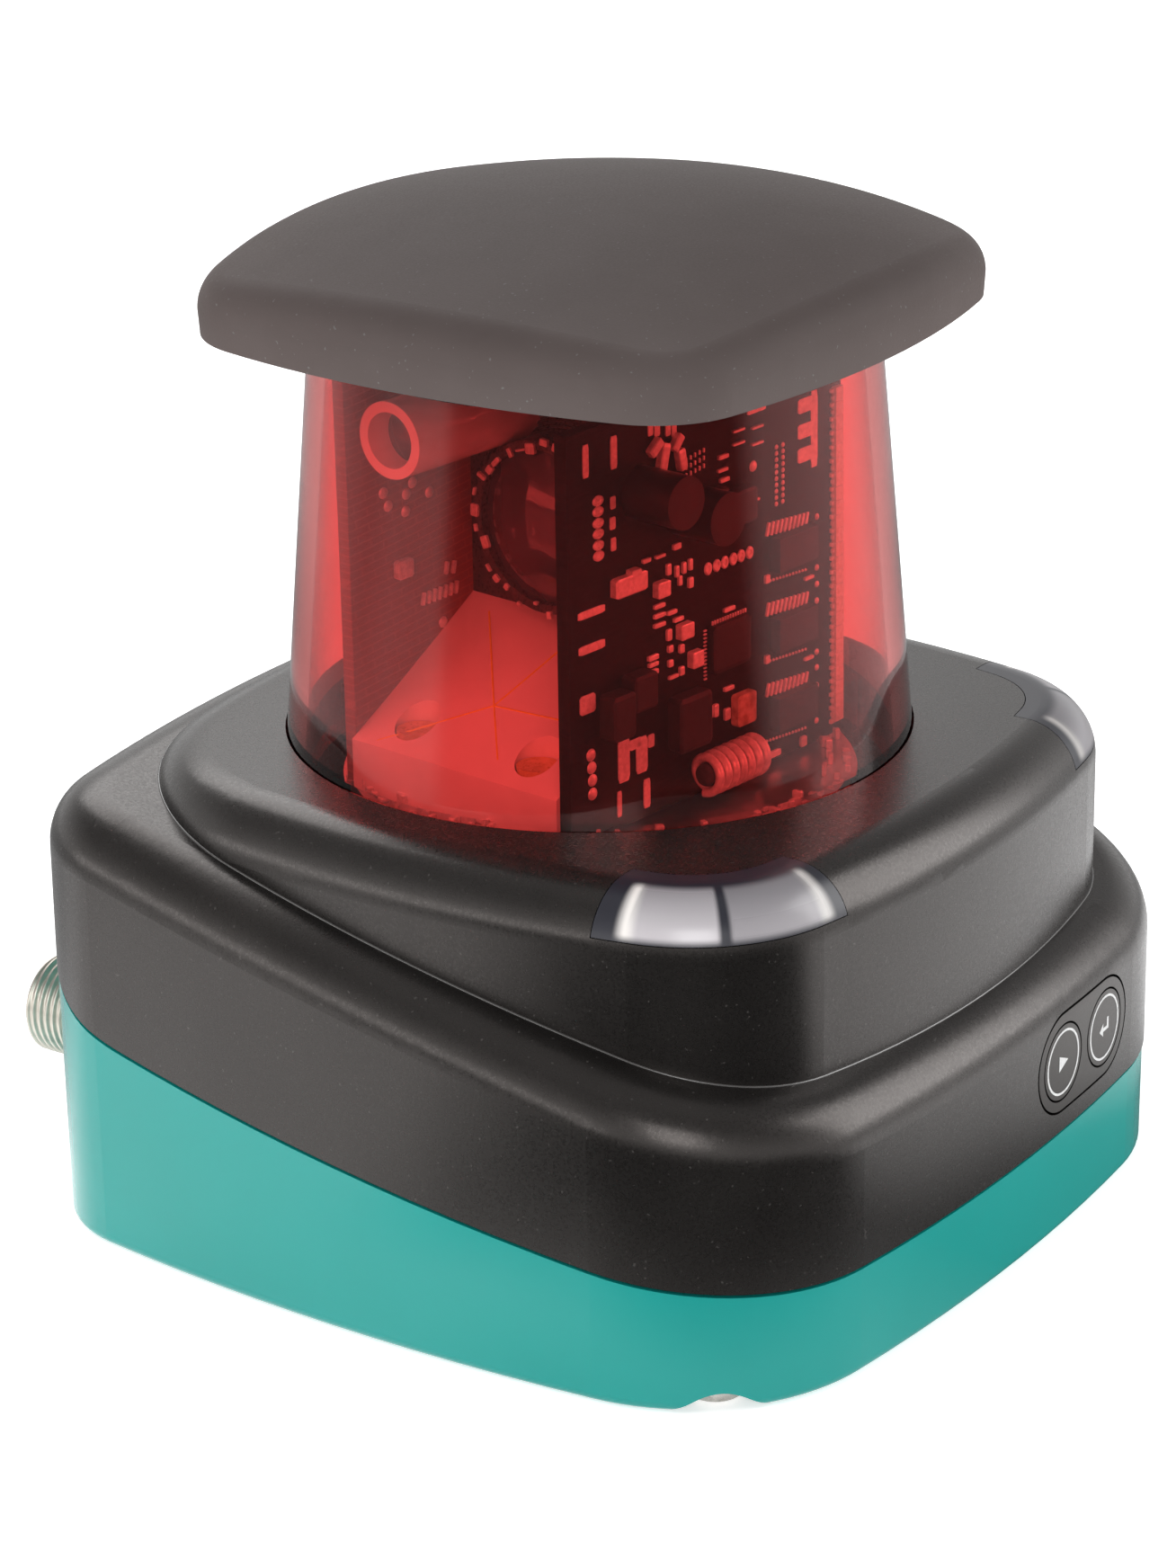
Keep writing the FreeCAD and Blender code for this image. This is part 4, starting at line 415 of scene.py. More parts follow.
# The optics carrier's deck is bright, its walls behind the lens face are dark
wallFace = -4.62
carrier = nodes["optics_carrier"].data
carrier.materials.append(finishes["darkDish"])
for face in carrier.polygons:
    along = face.center.x * math.cos(headTurn) + (face.center.y - headMiddle * mm) * math.sin(headTurn)
    face.material_index = 1 if along > wallFace * mm else 0
dressed = {name for names in nodeFinishes.values() for name in names}
print("finishes set:", len(bpy.data.materials), "undressed nodes:", sorted(set(nodes) - dressed))


# Mesh and node helpers
def linkPiece(name, mesh, body, slot, *coats):
    piece = bpy.data.objects.new(name, mesh)
    scene.collection.objects.link(piece)
    for coat in coats:
        mesh.materials.append(finishes[coat])
    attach(piece, body)
    return piece


def meshFrom(bm, name, smoothAngle=35):
    bmesh.ops.remove_doubles(bm, verts=bm.verts, dist=1e-7)
    bmesh.ops.recalc_face_normals(bm, faces=bm.faces)
    mesh = bpy.data.meshes.new(name)
    bm.to_mesh(mesh)
    bm.free()
    for face in mesh.polygons:
        face.use_smooth = True
    mesh.set_sharp_from_angle(angle=math.radians(smoothAngle))
    return mesh


# The faces of a CAD node, to drop points on
def skinOf(name):
    mesh = nodes[name].data
    return BVHTree.FromPolygons([vert.co for vert in mesh.vertices], [face.vertices for face in mesh.polygons])


# Edges that join a row of points into a ring
def ringEdges(count):
    return [(step, (step + 1) % count) for step in range(count)]


# Rings of points joined into a closed turned form about the Y axis, radius may follow the angle
def turnedForm(rings, steps):
    bm = bmesh.new()
    rows = []
    for along, radius in rings:
        row = []
        for step in range(steps):
            angle = 2 * math.pi * step / steps
            reach = radius(angle) if callable(radius) else radius
            row.append(bm.verts.new((reach * math.cos(angle), along, reach * math.sin(angle))))
        rows.append(row)
    for low, high in zip(rows, rows[1:]):
        for step, after in ringEdges(steps):
            bm.faces.new((low[step], low[after], high[after], high[step]))
    bm.faces.new(rows[0])
    bm.faces.new(rows[-1])
    return bm


unitParts = []


def unitObject(name, bm):
    unit = bpy.data.objects.new(name, meshFrom(bm, name))
    scene.collection.objects.link(unit)
    unitParts.append(unit)
    return unit


def bevelledBlock(name, bevel):
    bm = bmesh.new()
    bmesh.ops.create_cube(bm, size=1)
    bmesh.ops.bevel(bm, geom=bm.edges[:], offset=bevel, segments=1, affect="EDGES")
    return unitObject(name, bm)


def turnedUnit(name, rings, steps):
    return unitObject(name, turnedForm(rings, steps))


# A node tree's named inputs, and the ending that all the trees share
def startTree(name, **inputs):
    tree = bpy.data.node_groups.new(name, "GeometryNodeTree")
    for label, value in {**inputs, "Finish": "Material"}.items():
        kind = value if isinstance(value, str) else "Float"
        socket = tree.interface.new_socket(label, in_out="INPUT", socket_type="NodeSocket" + kind)
        if kind == "Float":
            socket.default_value = value
    tree.interface.new_socket("Geometry", in_out="OUTPUT", socket_type="NodeSocketGeometry")
    return tree, put(tree, "NodeGroupInput").outputs


def endTree(tree, entry, shape):
    realize = put(tree, "GeometryNodeRealizeInstances", {"Geometry": shape})
    paint = put(tree, "GeometryNodeSetMaterial", {"Geometry": realize.outputs["Geometry"],
                                                  "Material": entry["Finish"]})
    put(tree, "NodeGroupOutput", {"Geometry": paint.outputs["Geometry"]})
    return tree


def attributeOf(tree, name):
    return put(tree, "GeometryNodeInputNamedAttribute", {"Name": name}, data_type="FLOAT_VECTOR").outputs["Attribute"]


def pointsOf(tree, entry):
    return put(tree, "GeometryNodeMeshToPoints", {"Mesh": entry["Points"]}).outputs["Points"]


def tubeAlong(tree, curve, radius, corners=10):
    section = put(tree, "GeometryNodeCurvePrimitiveCircle", {"Resolution": corners, "Radius": radius})
    tube = put(tree, "GeometryNodeCurveToMesh", {"Curve": curve, "Profile Curve": section.outputs["Curve"],
                                                 "Fill Caps": True})
    return put(tree, "GeometryNodeSetShadeSmooth", {"Geometry": tube.outputs["Mesh"]}).outputs["Geometry"]


# One part on every point, sized and turned by the points' own attributes
def scatterTree():
    tree, entry = startTree("placeParts", Points="Geometry", Part="Object", Scale=1.0)
    part = put(tree, "GeometryNodeObjectInfo", {"Object": entry["Part"]})
    size = put(tree, "ShaderNodeVectorMath", {0: attributeOf(tree, "partSize"), "Scale": entry["Scale"]},
               operation="SCALE")
    copies = put(tree, "GeometryNodeInstanceOnPoints", {
        "Points": pointsOf(tree, entry), "Instance": part.outputs["Geometry"],
        "Rotation": attributeOf(tree, "partTurn"), "Scale": size.outputs["Vector"]})
    return endTree(tree, entry, copies.outputs["Instances"])


# Wire wound along a spiral
def coilTree():
    tree, entry = startTree("windCoil", Points="Geometry", Turns=6.0, Radius=0.002, Length=0.01, Wire=0.0005)
    spiral = put(tree, "GeometryNodeCurveSpiral", {
        "Resolution": 24, "Rotations": entry["Turns"], "Start Radius": entry["Radius"],
        "End Radius": entry["Radius"], "Height": entry["Length"]})
    copies = put(tree, "GeometryNodeInstanceOnPoints", {
        "Points": pointsOf(tree, entry), "Instance": tubeAlong(tree, spiral.outputs["Curve"], entry["Wire"]),
        "Rotation": attributeOf(tree, "partTurn")})
    return endTree(tree, entry, copies.outputs["Instances"])


# Round bead swept along a path of edges
def beadTree():
    tree, entry = startTree("sweepBead", Path="Geometry", Radius=0.0003)
    path = put(tree, "GeometryNodeMeshToCurve", {"Mesh": entry["Path"]})
    return endTree(tree, entry, tubeAlong(tree, path.outputs["Curve"], entry["Radius"]))


placeParts, windCoil, sweepBead = scatterTree(), coilTree(), beadTree()


def pointsObject(name, rows):
    mesh = bpy.data.meshes.new(name)
    mesh.from_pydata([row[0] for row in rows], [], [])
    for label, column in (("partSize", 1), ("partTurn", 2)):
        values = mesh.attributes.new(label, "FLOAT_VECTOR", "POINT")
        values.data.foreach_set("vector", [number for row in rows for number in row[column]])
    holder = bpy.data.objects.new(name, mesh)
    scene.collection.objects.link(holder)
    return holder


# Runs a node tree over a holder object and keeps only the plain mesh
def runTree(holder, tree, inputs):
    modifier = holder.modifiers.new("shape", "NODES")
    modifier.node_group = tree
    keys = {item.name: item.identifier for item in tree.interface.items_tree if item.in_out == "INPUT"}
    for name, value in inputs.items():
        modifier[keys[name]] = value
    graph = bpy.context.evaluated_depsgraph_get()
    mesh = bpy.data.meshes.new_from_object(holder.evaluated_get(graph), depsgraph=graph)
    holder.modifiers.remove(modifier)
    bpy.data.objects.remove(holder)
    mesh.materials.clear()
    mesh.materials.append(inputs["Finish"])
    mesh.polygons.foreach_set("material_index", [0] * len(mesh.polygons))
    return mesh


def scatter(name, rows, part, finish):
    return runTree(pointsObject(name + "Points", rows), placeParts, {"Part": part, "Finish": finishes[finish]})


def sweep(name, points, edges, radius, finish):
    mesh = bpy.data.meshes.new(name + "Path")
    mesh.from_pydata(points, edges, [])
    holder = bpy.data.objects.new(name + "Path", mesh)
    scene.collection.objects.link(holder)
    return runTree(holder, sweepBead, {"Radius": radius, "Finish": finishes[finish]})


def joinMeshes(name, meshes):
    bm = bmesh.new()
    coats = []
    for mesh in meshes:
        start = len(bm.faces)
        bm.from_mesh(mesh)
        bm.faces.ensure_lookup_table()
        if mesh.materials[0] not in coats:
            coats.append(mesh.materials[0])
        for face in bm.faces[start:]:
            face.material_index = coats.index(mesh.materials[0])
    joined = bpy.data.meshes.new(name)
    bm.to_mesh(joined)
    bm.free()
    for finish in coats:
        joined.materials.append(finish)
    return joined


# Connectors with their threads
connectorSizes = dict(across=30, height=17.8, rear=40, rearChamfer=0.4, rearRadius=5.4, seatBack=48.0, flange=50.6,
                      flangeTop=52.0, flangeRadius=7.6, underRim=0.25, overRim=0.3, rimBevel=0.2, knurls=40,
                      knurlDepth=0.22, neck=5.4, neckLength=0.7, threadStart=0.8, threadEnd=60.9, crest=6.0,
                      threadDepth=0.46, pitch=1.0, leadIn=0.3, leadLevel=0.6, taperLength=0.6, taperDepth=0.45,
                      tip=0.15, tipRadius=5.45, bore=4.7, boreChamfer=0.25, boreFloor=51.9, threadRings=140,
                      steps=96, smoothAngle=40)


def threadedConnector(name, node, side):
    size = SimpleNamespace(**connectorSizes)

    def knurled(angle):
        return size.flangeRadius - size.knurlDepth * (0.5 - 0.5 * math.cos(size.knurls * angle)) ** 2

    # The groove at one ring: shallow where the thread starts, drawn in at the tip
    def threadAt(along, start, end):
        lead = min(1.0, (along - start) / size.leadIn + size.leadLevel)
        taper = max(0.0, (along - (end - size.taperLength)) / size.taperLength)

        def radius(angle):
            phase = (along / size.pitch + angle / (2 * math.pi)) % 1.0
            groove = 0.5 - 0.5 * math.cos(2 * math.pi * phase)
            return size.crest - size.threadDepth * groove * lead - size.taperDepth * taper * taper
        return radius

    rings = [(size.rear, size.rearRadius - size.rearChamfer), (size.rear + size.rearChamfer, size.rearRadius),
             (size.seatBack, size.rearRadius), (size.seatBack, size.crest), (size.flange, size.crest),
             (size.flange, size.flangeRadius - size.underRim), (size.flange + size.rimBevel, knurled),
             (size.flangeTop - size.rimBevel, knurled), (size.flangeTop, size.flangeRadius - size.overRim),
             (size.flangeTop, size.neck), (size.flangeTop + size.neckLength, size.neck)]
    start, end = size.flangeTop + size.threadStart, size.threadEnd - size.tip
    for number in range(size.threadRings + 1):
        along = start + (end - start) * number / size.threadRings
        rings.append((along, threadAt(along, start, end)))
    rings += [(size.threadEnd, size.tipRadius), (size.threadEnd, size.bore + size.boreChamfer),
              (size.threadEnd - size.boreChamfer, size.bore), (size.boreFloor, size.bore)]
    bm = turnedForm(rings, size.steps)
    bmesh.ops.transform(bm, matrix=Matrix.Translation((side * size.across, 0, size.height)), verts=bm.verts)
    bmesh.ops.scale(bm, vec=(mm, mm, mm), verts=bm.verts)
    piece = linkPiece(name, meshFrom(bm, name, size.smoothAngle), "case", "nickel", "nickelPlate")
    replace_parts(piece, node)


threadedConnector("powerConnectorThreaded", "power_connector", -1)
threadedConnector("dataConnectorThreaded", "data_connector", 1)
print("connectors threaded")

# Case screws, heads down in the corner recesses
screwSizes = dict(spots=[(-42, -40, 18), (42, -40, 18), (-41.5, 41.5, 31), (41.5, 41.5, 31)], seat=3.0, head=3.6,
                  headHeight=2.6, rim=0.55, crown=0.75, socket=1.7, socketDepth=1.5, chamfer=0.12, pointDepth=0.25,
                  pointFlat=0.5, shank=1.5, threads=36, threadShare=0.97, root=0.86)


def hexRadius(flat):
    return lambda angle: flat / math.cos((angle + math.pi / 6) % (math.pi / 3) - math.pi / 6)


screw = SimpleNamespace(**screwSizes)
socketFloor = screw.headHeight - screw.socketDepth
headRings = [(0.0, 0.2), (0.0, screw.head), (screw.rim, screw.head)]
headRings += [(screw.rim + (screw.headHeight - screw.rim) * math.sin(angle),
               screw.head - screw.crown * (1 - math.cos(angle))) for angle in (0.3, 0.6, 0.9, 1.2, 1.5)]
headRings += [(screw.headHeight, hexRadius(screw.socket + screw.chamfer)),
              (screw.headHeight - screw.chamfer, hexRadius(screw.socket)), (socketFloor, hexRadius(screw.socket)),
              (socketFloor - screw.pointDepth, hexRadius(screw.pointFlat))]
screwHead = turnedUnit("screwHead", headRings, 48)
shankRings = [(0.0, 0.3), (0.0, 1.0)]
for number in range(screw.threads):
    shankRings += [((number + 0.3) / screw.threads * screw.threadShare, 1.0),
                   ((number + 0.8) / screw.threads * screw.threadShare, screw.root)]
shankRings += [(0.985, 0.8), (1.0, 0.55)]
screwShank = turnedUnit("screwShank", shankRings, 24)
down, up = (math.radians(-90), 0, 0), (math.radians(90), 0, 0)
heads = scatter("caseScrewHead", [((x * mm, y * mm, screw.seat * mm), (mm, mm, mm), down)
                                  for x, y, _ in screw.spots], screwHead, "zincScrew")
shanks = scatter("caseScrewShank", [((x * mm, y * mm, screw.seat * mm),
                                     (screw.shank * mm, long * mm, screw.shank * mm), up)
                                    for x, y, long in screw.spots], screwShank, "zincScrew")
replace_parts(linkPiece("caseScrewSet", joinMeshes("caseScrewSet", [heads, shanks]), "case", "steel"), "case_screws")
print("case screws set")

# Key prints: ring, play triangle, enter arrow
keySizes = dict(height=21.6, play=11.2, enter=22.1, ringOuter=3.95, ringWidth=0.28, ringSteps=72, proud=0.03,
                thick=0.05, castFrom=-80)
playShape = [[(-1.0, 0.95), (1.15, 0.0), (-1.0, -0.95)]]
enterShape = [[(-1.35, -0.25), (-0.35, 0.55), (-0.35, -1.05)],
              [(-0.4, -0.03), (1.1, -0.03), (1.1, -0.47), (-0.4, -0.47)],
              [(0.66, -0.03), (0.66, 1.0), (1.1, 1.0), (1.1, -0.03)]]


def printedKey(name, node, body, middle, shapes):
    key = SimpleNamespace(**keySizes)
    skin = skinOf(node)
    turns = [2 * math.pi * step / key.ringSteps for step in range(key.ringSteps)]
    outer, inner = ([(reach * math.cos(turn), reach * math.sin(turn)) for turn in turns]
                    for reach in (key.ringOuter, key.ringOuter - key.ringWidth))
    ring = [[outer[step], outer[after], inner[after], inner[step]] for step, after in ringEdges(key.ringSteps)]
    outlines = ring + shapes
    spots = dict.fromkeys(spot for outline in outlines for spot in outline)
    edges = [(outline[step], outline[after]) for outline in outlines for step, after in ringEdges(len(outline))]

    def onKey(spot, depth):
        x, z = (middle + spot[0]) * mm, (key.height + spot[1]) * mm
        hit = skin.ray_cast(Vector((x, key.castFrom * mm, z)), Vector((0, 1, 0)))[0]
        return x, hit.y + depth * mm, z

    bm = bmesh.new()
    front, back = ({spot: bm.verts.new(onKey(spot, depth)) for spot in spots}
                   for depth in (-key.proud, key.thick - key.proud))
    for outline in outlines:
        bm.faces.new([front[spot] for spot in outline])
        bm.faces.new([back[spot] for spot in outline])
    for first, last in edges:
        if (last, first) not in edges:  # walls only where no neighbour joins on
            bm.faces.new((front[first], front[last], back[last], back[first]))
    linkPiece(name, meshFrom(bm, name), body, "key_plastic", "keyPrint")


printedKey("playPrint", "play_key", "play_button", keySizes["play"], playShape)
printedKey("enterPrint", "enter_key", "enter_button", keySizes["enter"], enterShape)
print("keys printed")


# What sits on the turning boards, in millimetres from the head's middle
def onHead(x, y, z):
    return ((x * math.cos(headTurn) - y * math.sin(headTurn)) * mm,
            (headMiddle + x * math.sin(headTurn) + y * math.cos(headTurn)) * mm, z * mm)


# Runs are start x and z, step x and z, and how many; sizes are wide, tall, deep and sometimes tilt
boardParts = dict(
    face=-16.8, padProud=0.16, dotProud=0.28,
    bars=[(-21.0, 95.2, .9, 3.7), (-16.5, 95.1, 1, 3.7), (-20.4, 78, 4.3, .9), (-20.4, 74, 4.2, 1),
          (-16.7, 89.5, .8, 1.4), (-16.8, 87.2, .9, 1.4), (-16.7, 84.8, .8, 1.5), (-10.5, 96.2, .8, 1.4),
          (-9.4, 95.9, .9, 1.4), (-7.6, 95.5, .8, 1.4), (-6.6, 95.2, .8, 1.5), (7.6, 94.2, 3.3, .7),
          (-15.4, 59.5, 1.9, 5.2), (-12.4, 59.2, 1.9, 4.2), (-13.4, 60.8, 2.1, 1.2), (-10.8, 60.4, 1, 1.5),
          (-16.2, 54.5, .7, 3), (-11.6, 54.4, 1.1, 3.4), (-21.2, 67.7, 2.5, 2.2), (18.3, 89.4, 1.3, 9),
          (16.6, 92.6, 2.9, 1.7), (16.6, 89.6, 2.9, 1.7), (16.6, 86.8, 2.9, 1.7)],
    rings=[(-19.1, z) for z in (90.3, 89.1, 87.8, 86.6, 85.3, 84.1)],
    ovals=[(x, 77.8) for x in (-0.9, 0.6, 2.0, 3.5, 4.9, 6.4)],
    dots=[(-20.7, 61.6, 1.5), (-20.6, 60.1, 1.5), (-20.5, 58.6, 1.5), (-20.5, 57, 1.5), (-14.3, 68.5, 1.3),
          (7.1, 87.7, 1.3)],
    leads=[(-8.9, 92.7, 1.3, 3.3, 0.25), (-5.9, 91.8, 1.2, 2.5, -0.2), (-10.2, 94.2, 1.2, 2.2, 0.9),
           (-6.6, 93.9, 1.1, 2.0, 0.7)],
    brightParts=[(-14.7, 79.8, 5.2, 2.2), (-13.9, 80.8, 1.6, 1.1), (-5.4, 71.9, 2.2, 1.8), (-3.6, 68.1, 1.9, 1.9),
                 (-9.3, 77.8, 2.1, 1.8)],
    ceramics=[(4.7, 59.9, 3.3, 3.7)],
    darkParts=[(3.7, 84.1, 4.7, 4, 1.6), (0.2, 85, 2.2, 4, 1.4), (-13.8, 67.4, 3.8, 4.1, 2.2),
               (2.4, 68.2, 6.6, 5.6, 0.9), (-17.6, 65.6, 3.6, 5.2, 2.4), (-5.2, 61.4, 5.6, 6.4, 2.0)],
    small=[(-9.4, 75.8, 1.8, .5), (-9.4, 74.7, 1.9, .5), (-9.4, 73.6, 1.9, .5), (-7.3, 74.5, 1.6, .5),
           (-6.2, 73.4, 1.6, .5), (-7.8, 72, .8, 1.3), (-10.5, 70.1, 1.7, .6), (-10.5, 69.3, 1.6, .5),
           (-10.5, 68.4, 1.6, .6), (-7.6, 70.3, .8, .8), (-5.7, 69.8, .8, 1), (-7.6, 68.6, .8, .8),
           (-5.7, 67.2, .8, 1), (-7.1, 66.9, 1.6, .4), (-.8, 60.9, .8, 1.5), (.2, 60.8, .8, 1.5),
           (2.2, 59.8, 1, 1.4), (2.5, 62.8, 1.7, .5), (-7.8, 79.6, .7, 1.3), (-6.4, 79, .6, 1.3),
           (-5.2, 79.1, .6, 1.3), (-4.1, 79.2, .6, 1.3), (-4.1, 77.1, .8, 1.2), (-5.9, 77.8, .6, 1.1),
           (-11.5, 81.6, 1.3, .5), (-9.2, 81.5, 1.6, .4), (-6.4, 81.9, 1.3, .7), (-4.6, 84.7, .8, 1.1),
           (-3.9, 86.4, .6, .9), (-3, 86.4, .6, .9), (-2.1, 86.3, .5, .9), (1.6, 90.2, 1.7, .5),
           (1.5, 88.7, 1.7, .4), (1.8, 87.5, 1.6, .5), (4.3, 92.6, 2, .3), (4.3, 91.1, 2, .3),
           (7.6, 92.2, 2, .3), (7.6, 90.3, 2, .3), (7.1, 83.8, 1.7, .3), (2.6, 72.2, 1.9, .5),
           (10.7, 52.5, 2.3, .8), (16.2, 52.4, 1.1, 1.2), (17.2, 72, 1.7, .4), (17.2, 62.3, 1.7, .4),
           (9.4, 73.9, .8, 1), (9.4, 64.3, .8, 1)],
    pinRuns=[((x, 91.9 + 0.12 * x, 0, -0.9, 3), (0.25, 0.5, 0.2)) for x in (-4.6, -3.85, -3.1, -2.35, -1.6)]
            + [((9.6, z, 0.8, -0.065, 10), (0.42, 1.6, 0.3, 0.28)) for z in (79.7, 70.2, 60.5)]
            + [((-0.2, 71.2, 0.446, 0, 14), (0.2, 0.5, 0.2)), ((-1.5, 70.7, 0, -0.438, 14), (0.5, 0.2, 0.2))],
    dotRuns=[((9.6, z, 0.6, -0.04, 13), (0.4, 0.4, 0.2)) for z in (73.5, 63.9, 54.3)]
            + [((x, 88.9, 0, -0.74, 10), (0.6, 0.6, 0.2)) for x in (11.3, 12.5)],
    sideDots=[(19.0, z) for z in (78.8, 72.7, 70.7, 68.7, 62.5, 60.6, 58.4, 54.1)],
    edgeLamps=[(21.9 + 0.25 * (number % 2), 53.2 + 0.83 * number) for number in range(49)],
    sideDotSize=(0.8, 0.8, 0.25), ringSize=(1.7, 1.2, 0.22), ovalSize=(1.25, 1.5, 0.22), lampSize=(0.9, 0.5, 0.4),
    smallProud=0.4, leadProud=0.9, brightProud=1.0, ceramicProud=1.2)
board = SimpleNamespace(**boardParts)

# The second board, behind the first
rearParts = dict(face=15.2, dots=[(-18.7, 84.6), (-15.1, 83.6), (-15.3, 81.6), (-11.4, 82.9), (-18, 82.9),
                                  (-14.1, 84.7), (-9.7, 66.9)],
                 pins=[(-13 + 0.9 * number, 70.6) for number in range(7)] + [(-9.1, 73.3), (-7.9, 73.1)],
                 block=(-16.3, 75.2, 2.5, 2.2, 1.0), dotSize=(1.4, 1.4, 0.3), pinSize=(0.5, 1.5, 0.4, 0.2))
rear = SimpleNamespace(**rearParts)


# A block standing on a board's face
def blockRow(x, z, wide, tall, deep, tilt=0.0, face=board.face):
    return onHead(x, face - deep / 2, z), (wide * mm, deep * mm, tall * mm), (0, tilt, headTurn)


# A dome or an eyelet, whose own shape starts at the face
def flatRow(x, z, wide, tall, deep, face=board.face):
    return onHead(x, face, z), (wide * mm, deep * mm, tall * mm), (0, 0, headTurn)


def runOf(startX, startZ, stepX, stepZ, count):
    return [(startX + stepX * number, startZ + stepZ * number) for number in range(count)]


block = bevelledBlock("solderedBlock", 0.12)
chipBlock = bevelledBlock("mouldedBlock", 0.08)
dome = turnedUnit("solderDome", [(0.0, 0.1), (0.0, 0.5), (-0.35, 0.46), (-0.75, 0.3), (-1.0, 0.08)], 12)
eyelet = turnedUnit("solderEyelet", [(0.0, 0.24), (0.0, 0.5), (-0.7, 0.5), (-1.0, 0.4), (-1.0, 0.26),
                                     (-0.2, 0.2)], 16)

tinFlat = [blockRow(*bar, board.padProud) for bar in board.bars]
tinFlat += [blockRow(*part, board.smallProud) for part in board.small]
tinFlat += [blockRow(x, z, wide, tall, board.leadProud, tilt) for x, z, wide, tall, tilt in board.leads]
tinFlat += [blockRow(*spot, *size) for run, size in board.pinRuns for spot in runOf(*run)]
tinFlat += [blockRow(*spot, *rear.pinSize, face=rear.face) for spot in rear.pins]
tinFlat.append(blockRow(*rear.block, face=rear.face))
dotRows = [flatRow(x, z, wide, wide, board.dotProud) for x, z, wide in board.dots]
dotRows += [flatRow(*spot, *size) for run, size in board.dotRuns for spot in runOf(*run)]
dotRows += [flatRow(*spot, *board.sideDotSize) for spot in board.sideDots]
dotRows += [flatRow(*spot, *rear.dotSize, face=rear.face) for spot in rear.dots]
eyeletRows = [flatRow(*spot, *board.ringSize) for spot in board.rings]
eyeletRows += [flatRow(*spot, *board.ovalSize) for spot in board.ovals]
lampRows = [blockRow(*spot, *board.lampSize) for spot in board.edgeLamps]

boardTin = joinMeshes("boardTin", [scatter("tinFlat", tinFlat, block, "tinnedPad"),
                                   scatter("tinDots", dotRows, dome, "tinnedPad"),
                                   scatter("tinEyelets", eyeletRows, eyelet, "tinnedPad"),
                                   scatter("edgeLamps", lampRows, block, "lampChip")])
linkPiece("boardSolder", boardTin, "scan_head", "contact_metal")
brightRows = [blockRow(*part, board.brightProud) for part in board.brightParts]
ceramicRows = [blockRow(*part, board.ceramicProud) for part in board.ceramics]
darkRows = [blockRow(*part) for part in board.darkParts]
boardChips = joinMeshes("boardChips", [scatter("brightParts", brightRows, chipBlock, "tinnedPad"),
                                       scatter("ceramicParts", ceramicRows, chipBlock, "ceramicPart"),
                                       scatter("darkParts", darkRows, chipBlock, "chipBody")])
linkPiece("boardComponents", boardChips, "scan_head", "chip")
print("board parts placed:", len(tinFlat) + len(dotRows) + len(eyeletRows))

# Coil on the display board
coilSizes = dict(place=(0.0, -19.4, 55.0), turns=7.0, radius=2.0, length=9.6, wire=0.52, core=1.35)
coil = SimpleNamespace(**coilSizes)
coilX, coilY, coilZ = coil.place
coilStart = onHead(coilX - coil.length / 2, coilY, coilZ)
wound = runTree(pointsObject("coilPoint", [(coilStart, (1, 1, 1), (0, math.radians(90), headTurn))]), windCoil,
                {"Turns": coil.turns, "Radius": coil.radius * mm, "Length": coil.length * mm,
                 "Wire": coil.wire * mm, "Finish": finishes["tinnedPad"]})
corePart = turnedUnit("coilCore", [(0.0, 0.2), (0.0, 0.9), (0.04, 1.0), (0.96, 1.0), (1.0, 0.9), (1.0, 0.2)], 20)
core = scatter("coilCore", [(coilStart, (coil.core * mm, coil.length * mm, coil.core * mm),
                             (0, 0, headTurn - math.radians(90)))], corePart, "ferriteMagnet")
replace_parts(linkPiece("boardCoil", joinMeshes("boardCoil", [wound, core]), "scan_head", "copper"), "display_coil")
print("coil wound")

# Small parts and ridges round the receiving lens
lensSizes = dict(front=-9.6, height=81.3, ring=9.5, jitter=0.7, shift=0.25, count=30, deep=0.5, wide=(0.3, 1.3),
                 tall=(0.4, 1.5), ridges=(10.5, 11.2, 11.9, 12.6, 13.3), ridgeFace=-4.6, ridgeThick=0.22, steps=96,
                 seed=5)
lens = SimpleNamespace(**lensSizes)


def roundLens(x, reach, angle):
    return onHead(x, reach * math.cos(angle), lens.height + reach * math.sin(angle))


pick = random.Random(lens.seed)
lensRows = []
for number in range(lens.count):
    angle = 2 * math.pi * (number + pick.uniform(-lens.shift, lens.shift)) / lens.count
    reach = lens.ring + pick.uniform(-lens.jitter, lens.jitter)
    size = (lens.deep * mm, pick.uniform(*lens.wide) * mm, pick.uniform(*lens.tall) * mm)
    lensRows.append((roundLens(lens.front, reach, angle), size, (angle, 0, headTurn)))
lensParts = [scatter("lensRing", lensRows, block, "tinnedPad")]
for number, radius in enumerate(lens.ridges):
    ring = [roundLens(lens.ridgeFace, radius, 2 * math.pi * step / lens.steps) for step in range(lens.steps)]
    lensParts.append(sweep("lensRidge%d" % number, ring, ringEdges(lens.steps), lens.ridgeThick * mm, "darkDish"))
linkPiece("lensSurround", joinMeshes("lensSurround", lensParts), "scan_head", "contact_metal")

# Creases on the optics carrier's sloping deck
creaseSizes = dict(hub=(-16.5, 1.1), ends=[(-6.4, 11.0), (-8.2, -1.7), (-15.9, -9.2), (-22.1, -4.5), (-23.9, 12.0)],
                   low=(-24.4, 57.0), high=(-4.5, 69.3), proud=0.02, thick=0.13)
crease = SimpleNamespace(**creaseSizes)
(lowX, lowZ), (highX, highZ) = crease.low, crease.high
slope = (highZ - lowZ) / (highX - lowX)
hub, *creaseEnds = [onHead(x, y, lowZ + slope * (x - lowX) + crease.proud) for x, y in [crease.hub] + crease.ends]
creases = [sweep("crease%d" % number, [hub, end], [(0, 1)], crease.thick * mm, "orangeLine")
           for number, end in enumerate(creaseEnds)]
linkPiece("deckCreases", joinMeshes("deckCreases", creases), "scan_head", "contact_metal")
print("lens surround and deck creases set")

